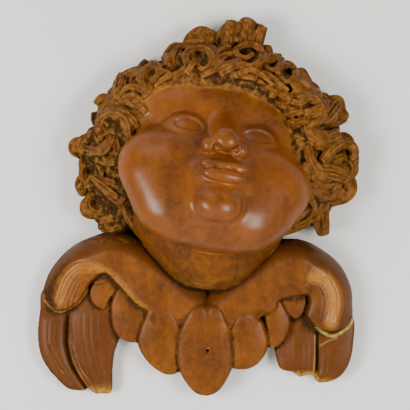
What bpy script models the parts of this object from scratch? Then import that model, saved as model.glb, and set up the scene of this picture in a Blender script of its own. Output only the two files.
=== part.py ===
# A carved wooden winged cherub head: one block of wood, flat behind, made to hang on a wall.
# The carving is drawn lying on its back, with x to the right, y up the wall and z out of
# the wall, in drawing units, and is stood upright at the end.
import math

import bmesh
import bpy
import numpy as np
from mathutils import Matrix

# Driving sizes, in metres
HEIGHT = 0.300  # from the tip of the breast feather to the top of the tuft
RELIEF = 0.104  # from the wall to the tip of the nose
NAIL_HOLE_DIAMETER = 0.0026

# Fineness of the faceted solid
VOXEL = 0.0013
SMOOTHING_PASSES = 2
MOST_TRIANGLES = 9200
ROUGH_ALLOWANCE = 0.0008  # left on the back until the facets are made

# The drawing is 380 units tall and reaches 134 units out of the wall
UNIT = HEIGHT / 380
DEPTH_UNIT = RELIEF / 134

WOOD_COLOUR = (0.36, 0.15, 0.045, 1)

# The head's place in the drawing, its tilt in degrees and its scale
HEAD_CENTRE = (2, 39, 25)
HEAD_LOOKS_UP = 35
HEAD_TURNS_RIGHT = 9
HEAD_LEANS_RIGHT = 10
HEAD_SCALE = 1.38
HEAD_FLATTENED = 0.80

# The throat, broad above and narrow below: centres and radii
COLLAR = ((4, -4, 28), (80, 60, 52))
THROAT_FRONT = ((3, -44, 30), (44, 38, 40))

# The mass of hair that the locks lie on: its centre, its reach to the side and up,
# how far it stands out at its edge, how much more behind the face, the depth of the
# hollows between the locks, the step from one layer of locks to the next, and how wide
# a gap the wood fills in the hair and at the hairline, how much higher it may stand there,
# how far it lies under the middles of the locks, and how far inside the outline it ends
HAIR_CENTRE = (8, 57)
HAIR_REACH = (124, 102)
HAIR_EDGE_HEIGHT = 16
HAIR_CROWN_HEIGHT = 46
HAIR_HOLLOW = 9
LAYER_HEIGHT = 4
LOCKS_WIDENED = 1.12
HAIR_GAP = 18
HAIRLINE_GAP = 30
HAIRLINE_RISE = 6
FILL_DEPTH = 1.5
FILL_INSET = 5

# The row of plain curls behind, along the wall
REAR_CURLS = 23
REAR_CURL_LENGTH = 30
REAR_CURL_WIDTH = 21
REAR_CURL_HEIGHT = 8
REAR_CURL_TURN = 150

# Hair that hangs lower beside the throat: centre and radii
HAIR_SIDES = (
    ((-90, 6, 6), (30, 32, 30)),
    ((102, 10, 6), (26, 30, 32)),
)

# Locks seen from the front, round the face from the lower left to the lower right:
# (x, y, heading, length, turn, tightening, width, level), with angles in degrees,
# anticlockwise positive, and more tightening for a lock that turns mostly near its tip
LOCKS = (
    # lower left, beside the throat
    (-83, 6, -75, 44, 25, 1, 7, 2),
    (-82, -14, 200, 28, -30, 1, 14, 0),
    (-90, 8, -50, 42, -155, 1.2, 10, 1),
    (-97, 19, -75, 60, -290, 1.5, 10, 2),
    (-107, 30, 170, 30, 130, 1.2, 13, 0),
    (-84, 9, 140, 36, 8, 1, 14, 1),
    # left, beside the cheek
    (-103, 46, 160, 46, 185, 1.1, 8, 2),
    (-76, 68, 240, 52, -80, 1.2, 8, 1),
    (-92, 70, 255, 46, -125, 1, 11, 2),
    (-118, 49, 165, 34, -190, 1.1, 11, 0),
    (-98, 68, 165, 24, -10, 1, 10, 0),
    # the twin arches at the temple
    (-76, 70, 92, 56, 205, 1.3, 10, 3),
    (-67, 77, 115, 46, 110, 1.3, 9, 2),
    (-66, 93, 120, 22, 30, 1, 9, 1),
    (-96, 72, 120, 46, -210, 2.2, 11, 1),
    (-92, 68, 140, 34, -60, 1.2, 10, 0),
    # upper left
    (-58, 132, 165, 54, 155, 1.4, 11, 1),
    (-84, 104, 112, 31, -50, 1, 14, 0),
    (-82, 126, 260, 24, -20, 1, 9, 1),
    (-68, 130, 250, 26, 60, 1, 8, 1),
    (-44, 137, 160, 44, 205, 1.2, 9, 2),
    (-39, 128, 170, 22, 60, 1, 8, 1),
    (-40, 136, 95, 18, -10, 1, 8, 0),
    (-32, 138, 95, 26, -40, 1, 12, 0),
    (-29, 156, 210, 28, 120, 1.2, 8, 1),
    # the great curl over the forehead
    (12, 135, 90, 64, 140, 1, 10, 1),
    (-20, 133, 92, 78, -340, 1.3, 9, 3),
    (-14, 154, 95, 19, -20, 1, 15, 0),
    (-1, 158, 92, 22, -20, 1, 17, 0),
    # the tuft
    (20, 155, 85, 32, -5, 1, 12, 2),
    (30, 160, 88, 25, 0, 1, 9, 1),
    (38, 158, 88, 31, -10, 1, 14, 2),
    (47, 156, 80, 28, -20, 1, 13, 1),
    # the snail curl
    (28, 142, -10, 96, 450, 1.35, 9, 4),
    (10, 132, 32, 26, -14, 1, 9, 3),
    (8, 131, 98, 34, -70, 1.2, 8, 2),
    (16, 132, -5, 34, -10, 1, 8, 2),
    # right of the snail curl
    (60, 148, 85, 15, 0, 1, 9, 0),
    (54, 145, 15, 22, -10, 1, 12, 1),
    (56, 124, 80, 42, -330, 1.3, 7, 3),
    (67, 131, 75, 40, -220, 1.2, 8, 2),
    (70, 120, 90, 50, -340, 1.3, 7, 3),
    (86, 134, -10, 20, -50, 1, 12, 0),
    (84, 122, -5, 34, -60, 1, 12, 1),
    # right temple
    (56, 118, -15, 44, -30, 1, 8, 1),
    (86, 116, -25, 28, 50, 1, 8, 2),
    (87, 106, 20, 56, -220, 1.4, 9, 3),
    (116, 102, 80, 13, 0, 1, 9, 0),
    (114, 84, 55, 28, -5, 1, 17, 1),
    (118, 84, 12, 23, 10, 1, 11, 0),
    (98, 84, 30, 24, -60, 1, 12, 1),
    # the waves beside the eye
    (99, 81, -60, 38, 115, 1, 8, 2),
    (99, 75, -60, 40, 115, 1, 8, 3),
    (97, 64, -25, 34, 50, 1, 8, 2),
    # right, beside the cheek
    (112, 44, 52, 56, -230, 2.6, 10, 3),
    (119, 43, 38, 46, -200, 1.6, 11, 1),
    (99, 60, -95, 32, 55, 1, 8, 3),
    (97, 46, -70, 34, 70, 1, 7, 2),
    (104, 36, 0, 40, -25, 1, 17, 2),
    (100, 26, -15, 38, 40, 1, 11, 2),
    (99, 22, -60, 44, 115, 1, 9, 2),
    (116, 6, 5, 40, 85, 1, 14, 0),
    # lower right
    (97, 14, -40, 38, -130, 1.2, 7, 2),
    (112, 10, -100, 26, 10, 1, 9, 1),
    (119, 6, -92, 26, 0, 1, 8, 0),
    (114, -4, -85, 25, 5, 1, 14, 0),
    (104, -10, 205, 34, 0, 1, 13, 1),
    (98, -2, 215, 30, 10, 1, 9, 2),
)


# The wings are a relief. Each arm is drawn by knots (x, y, half width, height), from the
# throat out to its round end.
LEFT_ARM = (
    (-1, -104, 22, 33),
    (-20, -94, 24, 34),
    (-42, -77, 28, 37),
    (-68, -61, 30, 38),
    (-97, -53, 28, 40),
    (-122, -60, 27, 38),
    (-140, -72, 25, 32),
    (-146, -83, 20, 27),
)
RIGHT_ARM = (
    (1, -104, 22, 33),
    (20, -94, 24, 34),
    (40, -80, 28, 37),
    (66, -64, 29, 38),
    (96, -59, 27, 40),
    (117, -66, 28, 37),
    (127, -82, 23, 32),
    (127, -98, 22, 28),
    (127, -104, 19, 26),
)
ARM_EDGE = 14  # how far the roundness of an arm's upper edge runs in
ARM_SLOPE = 3  # how much lower an arm lies along its lower edge

# Each feather: its knots (x, y, half width, height) from the root to the tip, and the line
# that its tip is broken off along, or None where it ends round
FEATHERS = (
    (((-139, -104, 7, 9), (-142, -136, 7, 8), (-126, -174, 6, 7)), None),
    (
        (
            (-152, -80, 17, 16),
            (-155, -110, 16, 15),
            (-155, -137, 15.5, 13),
            (-149, -153, 17, 12),
            (-136, -170, 16, 10),
            (-127, -178, 8.5, 9),
        ),
        None,
    ),
    (
        (
            (-116, -80, 22, 18),
            (-114, -120, 24, 16),
            (-113, -158, 18.5, 12),
            (-108, -177, 12.5, 10),
            (-104, -190, 9, 9),
        ),
        -188,
    ),
    (((-106, -78, 10, 22), (-106, -92, 10, 20)), None),
    (((-84, -80, 17, 25), (-80, -105, 18.5, 22), (-78, -117, 18.5, 18)), None),
    (((-52, -95, 20, 31), (-46, -120, 22.5, 27), (-43, -142, 22.5, 22), (-40, -149, 20.5, 20)), None),
    (
        (
            (129, -100, 18, 17),
            (129, -130, 18.5, 16),
            (129, -150, 18.5, 13),
            (127, -162, 16, 11),
            (120, -170, 8, 10),
        ),
        None,
    ),
    (((88, -95, 19, 18), (90, -130, 20.5, 16), (91, -150, 19.5, 13), (93, -158, 15.5, 11)), -171),
    (((88, -84, 13, 22), (88, -98, 13.5, 21)), None),
    (((64, -86, 18, 25), (66, -112, 17.5, 22), (65, -123, 17.5, 18)), None),
    (((41, -100, 21, 30), (38, -128, 23, 26), (36, -141, 22.5, 21)), None),
)
BREAST_FEATHER = (
    (-1, -108, 24, 32),
    (-1, -130, 27.5, 30),
    (-1, -150, 27.5, 26),
    (-2, -160, 26, 24),
    (-2, -168, 21.5, 21),
)
FEATHER_EDGE = 5  # how far the roundness of a feather's edge runs in
FEATHER_CROWN = 3  # how much higher a feather lies along its middle
KNIFE_LINE = (3.5, 1.8)  # depth and width of the cut round a feather
ARMS_MEET = (60, -92, -142)  # how far the arms run into the feathers: to the side, from, to
ARM_CREASE = (10, 5)  # depth and width of the crease between the arms
RELIEF_STEP = 1.5


def clear_scene():
    for item in list(bpy.data.objects):
        bpy.data.objects.remove(item)


def collection_named(name):
    made = bpy.data.collections.new(name)
    bpy.context.scene.collection.children.link(made)
    return made


# Distances from the head's surface, for points in the face's own frame:
# x to its side, y up, z forward, in millimetres of an infant's head.


def ellipsoid(points, centre, radii):
    reach = np.array(radii, float)
    offset = points - np.array(centre, float)
    near = np.linalg.norm(offset / reach, axis=1)
    far = np.linalg.norm(offset / reach**2, axis=1)
    return near * (near - 1) / np.maximum(far, 1e-9)


def rod(points, start, end, start_radius, end_radius):
    start, end = np.array(start, float), np.array(end, float)
    along = end - start
    share = np.clip((points - start) @ along / (along @ along), 0, 1)
    distance = np.linalg.norm(points - start - share[:, None] * along, axis=1)
    return distance - (start_radius + (end_radius - start_radius) * share)


def join(first, second, blend):
    share = np.clip(0.5 + 0.5 * (second - first) / blend, 0, 1)
    return second * (1 - share) + first * share - blend * share * (1 - share)


def cut(solid, tool, blend):
    return -join(-solid, tool, blend)


def pair(points, centre, radii, blend):
    """The same ellipsoid on both sides of the face, flowing together where they meet."""
    mirrored = points * (-1, 1, 1)
    return join(ellipsoid(points, centre, radii), ellipsoid(mirrored, centre, radii), blend)


def head_distance(points):
    head = ellipsoid(points, (8, 30, -6), (78, 67, 63))
    head = join(head, pair(points, (25, 34, 20), (44, 36, 36), 20), 16)  # forehead
    head = join(head, ellipsoid(points, (0, -24, 14), (58, 50, 44)), 14)
    head = join(head, pair(points, (32, -25, 30), (37, 33, 30), 8), 9)  # cheeks
    head = join(head, pair(points, (20, -50, 24), (34, 26, 27), 12), 12)  # jowls
    head = join(head, ellipsoid(points, (0, -36, 52), (20, 17, 16)), 9)  # muzzle
    head = join(head, ellipsoid(points, (0, -60, 53), (16, 12, 12.5)), 8)  # chin
    head = cut(head, pair(points, (26, 5, 66), (19, 10.5, 11), 2), 9)  # eye sockets
    head = join(head, pair(points, (25, 2, 43), (17, 15.6, 15.8), 2), 3)  # lids
    head = cut(head, pair(points, (25, 1, 60), (13, 5.4, 9), 1), 1)
    head = join(head, pair(points, (25, 2, 42.5), (14.8, 14.4, 14.6), 1), 0.5)
    head = join(head, rod(points, (0, 8, 54), (0, -13, 69), 6.5, 8), 7)  # nose
    head = join(head, ellipsoid(points, (0, -16, 72.5), (9.6, 8.2, 8)), 3.5)
    head = join(head, pair(points, (10.8, -19, 65), (6.2, 6.2, 7.4), 1), 2.5)
    head = cut(head, pair(points, (6, -23.4, 70.5), (3.4, 3.8, 3.8), 0.5), 1.2)
    head = join(head, pair(points, (6.4, -36.4, 67.2), (11, 3.8, 5), 3), 2)  # lips
    head = join(head, pair(points, (4.4, -43.2, 66.2), (10, 4.4, 5.2), 4), 2)
    head = cut(head, rod(points, (-15, -38.4, 65), (0, -39.8, 73), 1.2, 1), 0.9)
    head = cut(head, rod(points, (15, -38.4, 65), (0, -39.8, 73), 1.2, 1), 0.9)
    head = cut(head, pair(points, (17.5, -38, 64), (2.6, 3, 3.8), 1), 3)
    return cut(head, ellipsoid(points, (0, -60, 67), (3, 3, 2.6)), 2.2)  # chin dimple


def head_turn():
    looks_up = Matrix.Rotation(-math.radians(HEAD_LOOKS_UP), 3, "X")
    turns = Matrix.Rotation(math.radians(HEAD_TURNS_RIGHT), 3, "Y")
    leans = Matrix.Rotation(-math.radians(HEAD_LEANS_RIGHT), 3, "Z")
    return np.array(leans @ turns @ looks_up)


def throat_distance(points):
    return join(ellipsoid(points, *COLLAR), ellipsoid(points, *THROAT_FRONT), 24)


def slid_ball(distance, middle):
    """A ball whose points slide along their rays until they meet a surface."""
    ball = bmesh.new()
    bmesh.ops.create_icosphere(ball, subdivisions=6, radius=1)
    mesh = bpy.data.meshes.new("slid ball")
    ball.to_mesh(mesh)
    ball.free()
    rays = coordinates(mesh)
    middle = np.array(middle, float)
    reach = np.full(len(rays), 130.0)
    for _ in range(40):
        reach -= 0.8 * distance(middle + rays * reach[:, None])
    place(mesh, middle + rays * reach[:, None])
    return mesh


def coordinates(mesh):
    return np.array([vertex.co for vertex in mesh.vertices], float)


def place(mesh, points):
    mesh.vertices.foreach_set("co", points.astype(np.float32).ravel())


def head():
    mesh = slid_ball(head_distance, (0, -12, 8))
    points = coordinates(mesh) * HEAD_SCALE * (1, 1, HEAD_FLATTENED)
    place(mesh, points @ head_turn().T + np.array(HEAD_CENTRE, float))
    return mesh


def ball(centre, radii):
    made = bmesh.new()
    bmesh.ops.create_uvsphere(made, u_segments=48, v_segments=32, radius=1)
    bmesh.ops.scale(made, vec=radii, verts=made.verts)
    bmesh.ops.translate(made, vec=centre, verts=made.verts)
    mesh = bpy.data.meshes.new("ball")
    made.to_mesh(mesh)
    made.free()
    return mesh


# Sweeps: a closed profile, one unit to each side, drawn along stations (x, y, z, half width)


def profile(name, outline, helpers):
    curve = bpy.data.curves.new(name, "CURVE")
    curve.dimensions = "2D"
    spline = curve.splines.new("POLY")
    spline.points.add(len(outline) - 1)
    for point, (x, y) in zip(spline.points, outline):
        point.co = (x, y, 0, 1)
    spline.use_cyclic_u = True
    made = bpy.data.objects.new(name, curve)
    made.hide_render = True
    helpers.objects.link(made)
    return made


def rounded_outline(thickness, squareness, steps=20):
    """A flattened oval, squarer with a higher squareness, clockwise."""
    outline = []
    for step in range(steps):
        angle = -math.tau * step / steps
        x, y = math.cos(angle), math.sin(angle)
        power = 2 / squareness
        outline.append(
            (math.copysign(abs(x) ** power, x), thickness * math.copysign(abs(y) ** power, y))
        )
    return outline


def grooved_outline(thickness, ridges, groove, steps=22):
    """An oval whose upper side is gouged into ridges, clockwise."""
    outline = []
    for x, y in rounded_outline(thickness, 2, steps):
        if y > 0:
            y *= 1 - groove * (0.5 - 0.5 * math.cos(math.tau * ridges * (x + 1) / 2))
        outline.append((x, y))
    return outline


def sweep(name, stations, section, helpers):
    curve = bpy.data.curves.new(name, "CURVE")
    curve.dimensions = "3D"
    curve.twist_mode = "Z_UP"
    curve.bevel_mode = "OBJECT"
    curve.bevel_object = section
    curve.use_fill_caps = True
    spline = curve.splines.new("POLY")
    spline.points.add(len(stations) - 1)
    for point, (x, y, z, half_width) in zip(spline.points, stations):
        point.co = (x, y, z, 1)
        point.radius = half_width
    guide = bpy.data.objects.new(name, curve)
    helpers.objects.link(guide)
    graph = bpy.context.evaluated_depsgraph_get()
    mesh = bpy.data.meshes.new_from_object(guide.evaluated_get(graph))
    bpy.data.objects.remove(guide)
    return mesh


def smooth_stations(knots, steps):
    """Stations on a Catmull-Rom curve through the knots."""
    knots = np.array([knots[0], *knots, knots[-1]], float)
    stations = []
    for i in range(len(knots) - 3):
        before, start, end, after = knots[i : i + 4]
        for t in np.arange(0, 1, 1 / steps):
            stations.append(
                0.5
                * (
                    2 * start
                    + (end - before) * t
                    + (2 * before - 5 * start + 4 * end - after) * t**2
                    + (3 * start - before - 3 * end + after) * t**3
                )
            )
    return [*stations, knots[-1]]


def hair_height(x, y):
    across = (x - HAIR_CENTRE[0]) / HAIR_REACH[0]
    up = (y - HAIR_CENTRE[1]) / HAIR_REACH[1]
    return HAIR_EDGE_HEIGHT + HAIR_CROWN_HEIGHT * np.sqrt(np.maximum(0, 1 - across**2 - up**2))


def lock_stations(x, y, heading, length, turn, tightening, width, level, steps=22):
    stations = []
    for step in range(steps + 1):
        share = step / steps
        taper = min(1, 0.72 + 1.2 * share) * (1 - 0.35 * share**3)
        if step == steps:
            taper *= 0.6
        height = hair_height(x, y) + LAYER_HEIGHT * level + 3 * share
        stations.append((x, y, height, LOCKS_WIDENED * width / 2 * taper))
        direction = math.radians(heading + turn * share**tightening)
        x += length / steps * math.cos(direction)
        y += length / steps * math.sin(direction)
    return stations


def rear_curl_stations(number):
    """A short plain curl at the back edge of the hair, turning the other way from the last."""
    angle = math.radians(-32 + 244 * number / (REAR_CURLS - 1))
    x = HAIR_CENTRE[0] + 0.8 * HAIR_REACH[0] * math.cos(angle)
    y = HAIR_CENTRE[1] + 0.8 * HAIR_REACH[1] * math.sin(angle)
    side = 1 if number % 2 else -1
    heading = math.degrees(angle) - 60 * side
    stations = lock_stations(
        x, y, heading, REAR_CURL_LENGTH, REAR_CURL_TURN * side, 1.2, REAR_CURL_WIDTH, 0
    )
    return [(x, y, REAR_CURL_HEIGHT, half_width) for x, y, _, half_width in stations]


# Reliefs: heights over the wall on a grid, made into closed blocks


def strip(x, y, knots):
    """Each point's depth inside a strip, its place across it from -1 on the right of the
    strip's run to 1 on its left, and the strip's height there."""
    stations = np.array(smooth_stations(knots, 10))
    depth = np.full(x.shape, -1e9)
    nearest = np.zeros(x.shape, int)
    for number, (middle_x, middle_y, half_width, _) in enumerate(stations):
        inside = half_width - np.hypot(x - middle_x, y - middle_y)
        closer = inside > depth
        depth[closer] = inside[closer]
        nearest[closer] = number
    here = stations[nearest]
    last = len(stations) - 1
    run = stations[np.minimum(nearest + 1, last)] - stations[np.maximum(nearest - 1, 0)]
    across = run[..., 0] * (y - here[..., 1]) - run[..., 1] * (x - here[..., 0])
    across /= np.maximum(np.hypot(run[..., 0], run[..., 1]), 1e-6) * here[..., 2]
    return depth, across, here[..., 3]


def rounded(depth, reach):
    short = 1 - np.clip(depth / reach, 0, 1)
    return np.sqrt(np.maximum(0, 1 - short**2))


def line_of(distance, width):
    return np.exp(-((distance / width) ** 2))


def arms_and_feathers_meet(x, y):
    """Where the arms run smoothly into the feathers below them, from 0 to 1."""
    side, start, end = ARMS_MEET
    return np.exp(-((x / side) ** 6)) * np.clip((start - y) / 22, 0, 1) * np.clip((y - end) / 16, 0, 1)


def lay_feather(heights, x, y, knots, broken_at):
    """One feather over those already there, with a knife line round it."""
    depth, across, height = strip(x, y, knots)
    if broken_at is not None:
        depth = np.minimum(depth, y - broken_at)
    apart = 1 - arms_and_feathers_meet(x, y)
    cut_depth, cut_width = KNIFE_LINE
    beside = (depth < 0) & (heights > 0)
    heights = heights - cut_depth * apart * line_of(depth, cut_width) * beside
    leaf = (height - FEATHER_CROWN * across**2) * (0.25 + 0.75 * rounded(depth, FEATHER_EDGE))
    return np.where(depth > 0, np.maximum(heights, leaf), heights)


def arm_height(x, y, knots, upper_side):
    """A broad band, rounded along its upper edge and lying lower along its lower edge."""
    depth, across, height = strip(x, y, knots)
    lower = np.clip((1 - across * upper_side) / 2, 0, 1)
    edge = np.where(across * upper_side > 0, ARM_EDGE, 3 + 12 * arms_and_feathers_meet(x, y))
    band = (height - ARM_SLOPE * lower**2) * (0.2 + 0.8 * rounded(depth, edge))
    return np.where(depth > 0, band, -30)


def highest(first, second, blend):
    return -join(-first, -second, blend)


def wings():
    x, y = np.meshgrid(np.arange(-180, 156, RELIEF_STEP), np.arange(-198, -16, RELIEF_STEP))
    heights = np.full(x.shape, -30.0)
    for knots, broken_at in FEATHERS:
        heights = lay_feather(heights, x, y, knots, broken_at)
    heights = lay_feather(heights, x, y, BREAST_FEATHER, None)
    arms = np.maximum(arm_height(x, y, LEFT_ARM, -1), arm_height(x, y, RIGHT_ARM, 1))
    blended = highest(heights, arms, 0.6 + 12 * arms_and_feathers_meet(x, y))
    heights = np.where(heights > 0, np.where(arms > 0, blended, heights), arms)
    crease_depth, crease_width = ARM_CREASE
    crease = line_of(x, crease_width) * np.clip((y + 122) / 26, 0, 1)
    return block(x, y, heights - crease_depth * crease * (heights > 0))


def spread(grid, reach, pick):
    """The highest or the lowest value within reach of each cell."""
    result = grid.copy()
    for row in range(-reach, reach + 1):
        for column in range(-reach, reach + 1):
            if 0 < row * row + column * column <= reach * reach:
                result = pick(result, np.roll(grid, (row, column), (0, 1)))
    return result


def closed_gaps(grid, width):
    reach = int(width / 2)
    return spread(spread(grid, reach, np.maximum), reach, np.minimum)


def hair_fill(paths, skin):
    """The wood left standing between the locks and up to the face."""
    left, below = -160, -60
    x, y = np.meshgrid(np.arange(left, 176.0), np.arange(below, 216.0))
    heights = np.full(x.shape, -30.0)
    for path in paths:
        for middle_x, middle_y, height, half_width in path[::2]:
            column, row = round(middle_x) - left, round(middle_y) - below
            reach = int(half_width) + 1
            part = np.s_[row - reach : row + reach + 1, column - reach : column + reach + 1]
            away = np.hypot(x[part] - middle_x, y[part] - middle_y)
            heights[part] = np.maximum(heights[part], np.where(away < half_width, height, -30))
    skin = skin[(skin[:, 1] > -20) & (skin[:, 2] > 20)]
    cells = (skin[:, 1] - below).astype(int), (skin[:, 0] - left).astype(int)
    hairline = np.minimum(skin[:, 2] - 4, hair_height(skin[:, 0], skin[:, 1]) + HAIRLINE_RISE)
    np.maximum.at(heights, cells, hairline)
    across = (x - HAIR_CENTRE[0]) / HAIR_REACH[0]
    up = (y - HAIR_CENTRE[1]) / HAIR_REACH[1]
    inner = np.hypot(across, up) < 0.86
    filled = closed_gaps(heights, HAIR_GAP)
    filled = np.where(inner, closed_gaps(heights, HAIRLINE_GAP), filled)
    well_inside = spread(filled, FILL_INSET, np.minimum) > 0
    filled = np.where(well_inside, filled, -30)
    return block(x[::2, ::2], y[::2, ::2], filled[::2, ::2] - FILL_DEPTH)


def block(x, y, heights, under=-8):
    """Heights on a grid as a closed block that starts behind the wall."""
    heights = np.maximum(heights, under)
    count = heights.size
    number = np.arange(count).reshape(heights.shape)
    faces = np.stack([number[:-1, :-1], number[:-1, 1:], number[1:, 1:], number[1:, :-1]], -1)
    faces = faces.reshape(-1, 4)
    faces = faces[(heights.ravel()[faces] > under + 0.1).any(axis=1)]
    edges = {tuple(edge) for k in range(4) for edge in faces[:, [k, (k + 1) % 4]].tolist()}
    rim = [(a, b) for a, b in edges if (b, a) not in edges]
    walls = [(b, a, a + count, b + count) for a, b in rim]
    top = np.stack([x, y, heights], -1).reshape(-1, 3)
    base = top * (1, 1, 0) + (0, 0, under - 1)
    mesh = bpy.data.meshes.new("block")
    every = faces.tolist() + (faces[:, ::-1] + count).tolist() + walls
    mesh.from_pydata(np.vstack([top, base]).tolist(), [], every)
    return mesh


def pieces(helpers):
    """Every shape of the carving, as meshes in drawing units that overlap."""
    leaf = profile("rear curl section", rounded_outline(0.42, 2.6), helpers)
    ribbon = profile("lock section", grooved_outline(1.5, 2, 0.3), helpers)
    shapes = [head(), slid_ball(throat_distance, (4, -20, 24))]
    skin = np.vstack([coordinates(mesh) for mesh in shapes])
    paths = [lock_stations(*lock) for lock in LOCKS]
    shapes += [wings(), hair_fill(paths, skin)]
    shapes += [ball(*lump) for lump in HAIR_SIDES]
    shapes.append(
        ball((*HAIR_CENTRE, HAIR_EDGE_HEIGHT - HAIR_HOLLOW), (*HAIR_REACH, HAIR_CROWN_HEIGHT))
    )
    shapes += [sweep("lock", path, ribbon, helpers) for path in paths]
    for number in range(REAR_CURLS):
        shapes.append(sweep("rear curl", rear_curl_stations(number), leaf, helpers))
    return shapes


def evaluated_mesh(made):
    graph = bpy.context.evaluated_depsgraph_get()
    return bpy.data.meshes.new_from_object(made.evaluated_get(graph))


def joined(name, shapes, home):
    whole = bmesh.new()
    for shape in shapes:
        whole.from_mesh(shape)
        bpy.data.meshes.remove(shape)
    bmesh.ops.remove_doubles(whole, verts=whole.verts, dist=1e-5)
    loose = [vertex for vertex in whole.verts if not vertex.link_faces]
    bmesh.ops.delete(whole, geom=loose, context="VERTS")
    bmesh.ops.scale(whole, vec=(UNIT, UNIT, DEPTH_UNIT), verts=whole.verts)
    mesh = bpy.data.meshes.new(name)
    whole.to_mesh(mesh)
    whole.free()
    made = bpy.data.objects.new(name, mesh)
    home.objects.link(made)
    return made


def fuse(carving):
    """One skin round all of the overlapping shapes."""
    remesh = carving.modifiers.new("one skin", "REMESH")
    remesh.mode = "VOXEL"
    remesh.voxel_size = VOXEL
    soften = carving.modifiers.new("soften", "SMOOTH")
    soften.factor = 0.5
    soften.iterations = SMOOTHING_PASSES
    carving.data = evaluated_mesh(carving)
    carving.modifiers.clear()
    keep_largest_shell(carving.data)


def keep_largest_shell(mesh):
    whole = bmesh.new()
    whole.from_mesh(mesh)
    left, shells = set(whole.verts), []
    while left:
        reached, edge = set(), [next(iter(left))]
        while edge:
            vertex = edge.pop()
            if vertex in reached:
                continue
            reached.add(vertex)
            edge += [e.other_vert(vertex) for e in vertex.link_edges]
        left -= reached
        shells.append(reached)
    largest = max(shells, key=len)
    bmesh.ops.delete(whole, geom=[v for v in whole.verts if v not in largest], context="VERTS")
    whole.to_mesh(mesh)
    whole.free()


def facet(carving):
    """Collapses the even skin to the triangles that its form needs."""
    triangles = sum(len(face.vertices) - 2 for face in carving.data.polygons)
    collapse = carving.modifiers.new("facet", "DECIMATE")
    collapse.ratio = min(1, MOST_TRIANGLES / triangles)
    collapse.use_collapse_triangulate = True
    carving.data = evaluated_mesh(carving)
    carving.modifiers.clear()


def box_cutter(name, low, high, helpers):
    made = bmesh.new()
    bmesh.ops.create_cube(made, size=1)
    bmesh.ops.scale(made, vec=[b - a for a, b in zip(low, high)], verts=made.verts)
    bmesh.ops.translate(made, vec=[(a + b) / 2 for a, b in zip(low, high)], verts=made.verts)
    return cutter(name, made, helpers)


def cutter(name, shape, helpers):
    mesh = bpy.data.meshes.new(name)
    shape.to_mesh(mesh)
    shape.free()
    made = bpy.data.objects.new(name, mesh)
    made.hide_render = True
    made.display_type = "WIRE"
    helpers.objects.link(made)
    return made


def cut_away(carving, tool):
    boolean = carving.modifiers.new(tool.name, "BOOLEAN")
    boolean.operation = "DIFFERENCE"
    boolean.object = tool
    carving.data = evaluated_mesh(carving)
    carving.modifiers.clear()
    bpy.data.objects.remove(tool)


def plane_back(carving, line, helpers):
    """Planes away everything behind a line, so that the back is flat."""
    reach = HEIGHT
    cut_away(carving, box_cutter("plane", (-reach, -reach, -reach), (reach, reach, line), helpers))


def drill_nail_hole(carving, helpers):
    made = bmesh.new()
    bmesh.ops.create_cone(
        made,
        cap_ends=True,
        segments=16,
        radius1=NAIL_HOLE_DIAMETER / 2,
        radius2=NAIL_HOLE_DIAMETER / 2,
        depth=RELIEF,
    )
    bmesh.ops.translate(made, vec=(0, -143 * UNIT, 0), verts=made.verts)
    cut_away(carving, cutter("nail", made, helpers))


def stand_upright(carving):
    carving.data.transform(Matrix.Rotation(math.radians(90), 4, "X"))


def wood(carving):
    material = bpy.data.materials.new("wood")
    material.use_nodes = True
    shader = material.node_tree.nodes["Principled BSDF"]
    shader.inputs["Base Color"].default_value = WOOD_COLOUR
    shader.inputs["Roughness"].default_value = 0.4
    carving.data.materials.clear()
    carving.data.materials.append(material)


def main():
    clear_scene()
    home = collection_named("winged cherub head")
    helpers = collection_named("helpers")
    carving = joined("winged_cherub_head", pieces(helpers), home)
    fuse(carving)
    plane_back(carving, -ROUGH_ALLOWANCE, helpers)
    facet(carving)
    plane_back(carving, 0, helpers)
    drill_nail_hole(carving, helpers)
    stand_upright(carving)
    wood(carving)


main()
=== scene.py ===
import math

import bmesh
import bpy
import numpy as np
from mathutils import Matrix, Vector


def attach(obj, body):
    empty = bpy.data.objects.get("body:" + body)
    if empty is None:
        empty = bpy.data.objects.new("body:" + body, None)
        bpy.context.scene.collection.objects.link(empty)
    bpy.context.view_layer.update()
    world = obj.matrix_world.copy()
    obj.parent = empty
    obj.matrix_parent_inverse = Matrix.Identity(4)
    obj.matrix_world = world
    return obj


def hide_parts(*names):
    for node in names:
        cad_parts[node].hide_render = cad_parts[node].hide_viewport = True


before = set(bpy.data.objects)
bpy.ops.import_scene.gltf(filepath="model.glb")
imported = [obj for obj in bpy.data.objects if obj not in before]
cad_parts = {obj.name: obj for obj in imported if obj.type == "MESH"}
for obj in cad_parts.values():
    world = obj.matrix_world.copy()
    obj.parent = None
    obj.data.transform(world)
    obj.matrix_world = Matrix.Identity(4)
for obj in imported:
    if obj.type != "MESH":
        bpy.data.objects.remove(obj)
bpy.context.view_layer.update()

# The carving is drawn lying on its back: x to the right, y up, z out of the wall,
# 380 drawing units tall, and it is stood upright once it is whole.
unit = 0.300 / 380
depthUnit = 0.104 / 134

carving = {
    "voxel": 0.95,
    "smoothing": 1,
    "triangles": 190000,
    "fieldStep": 0.5,
}


# Shader and geometry trees

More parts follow.
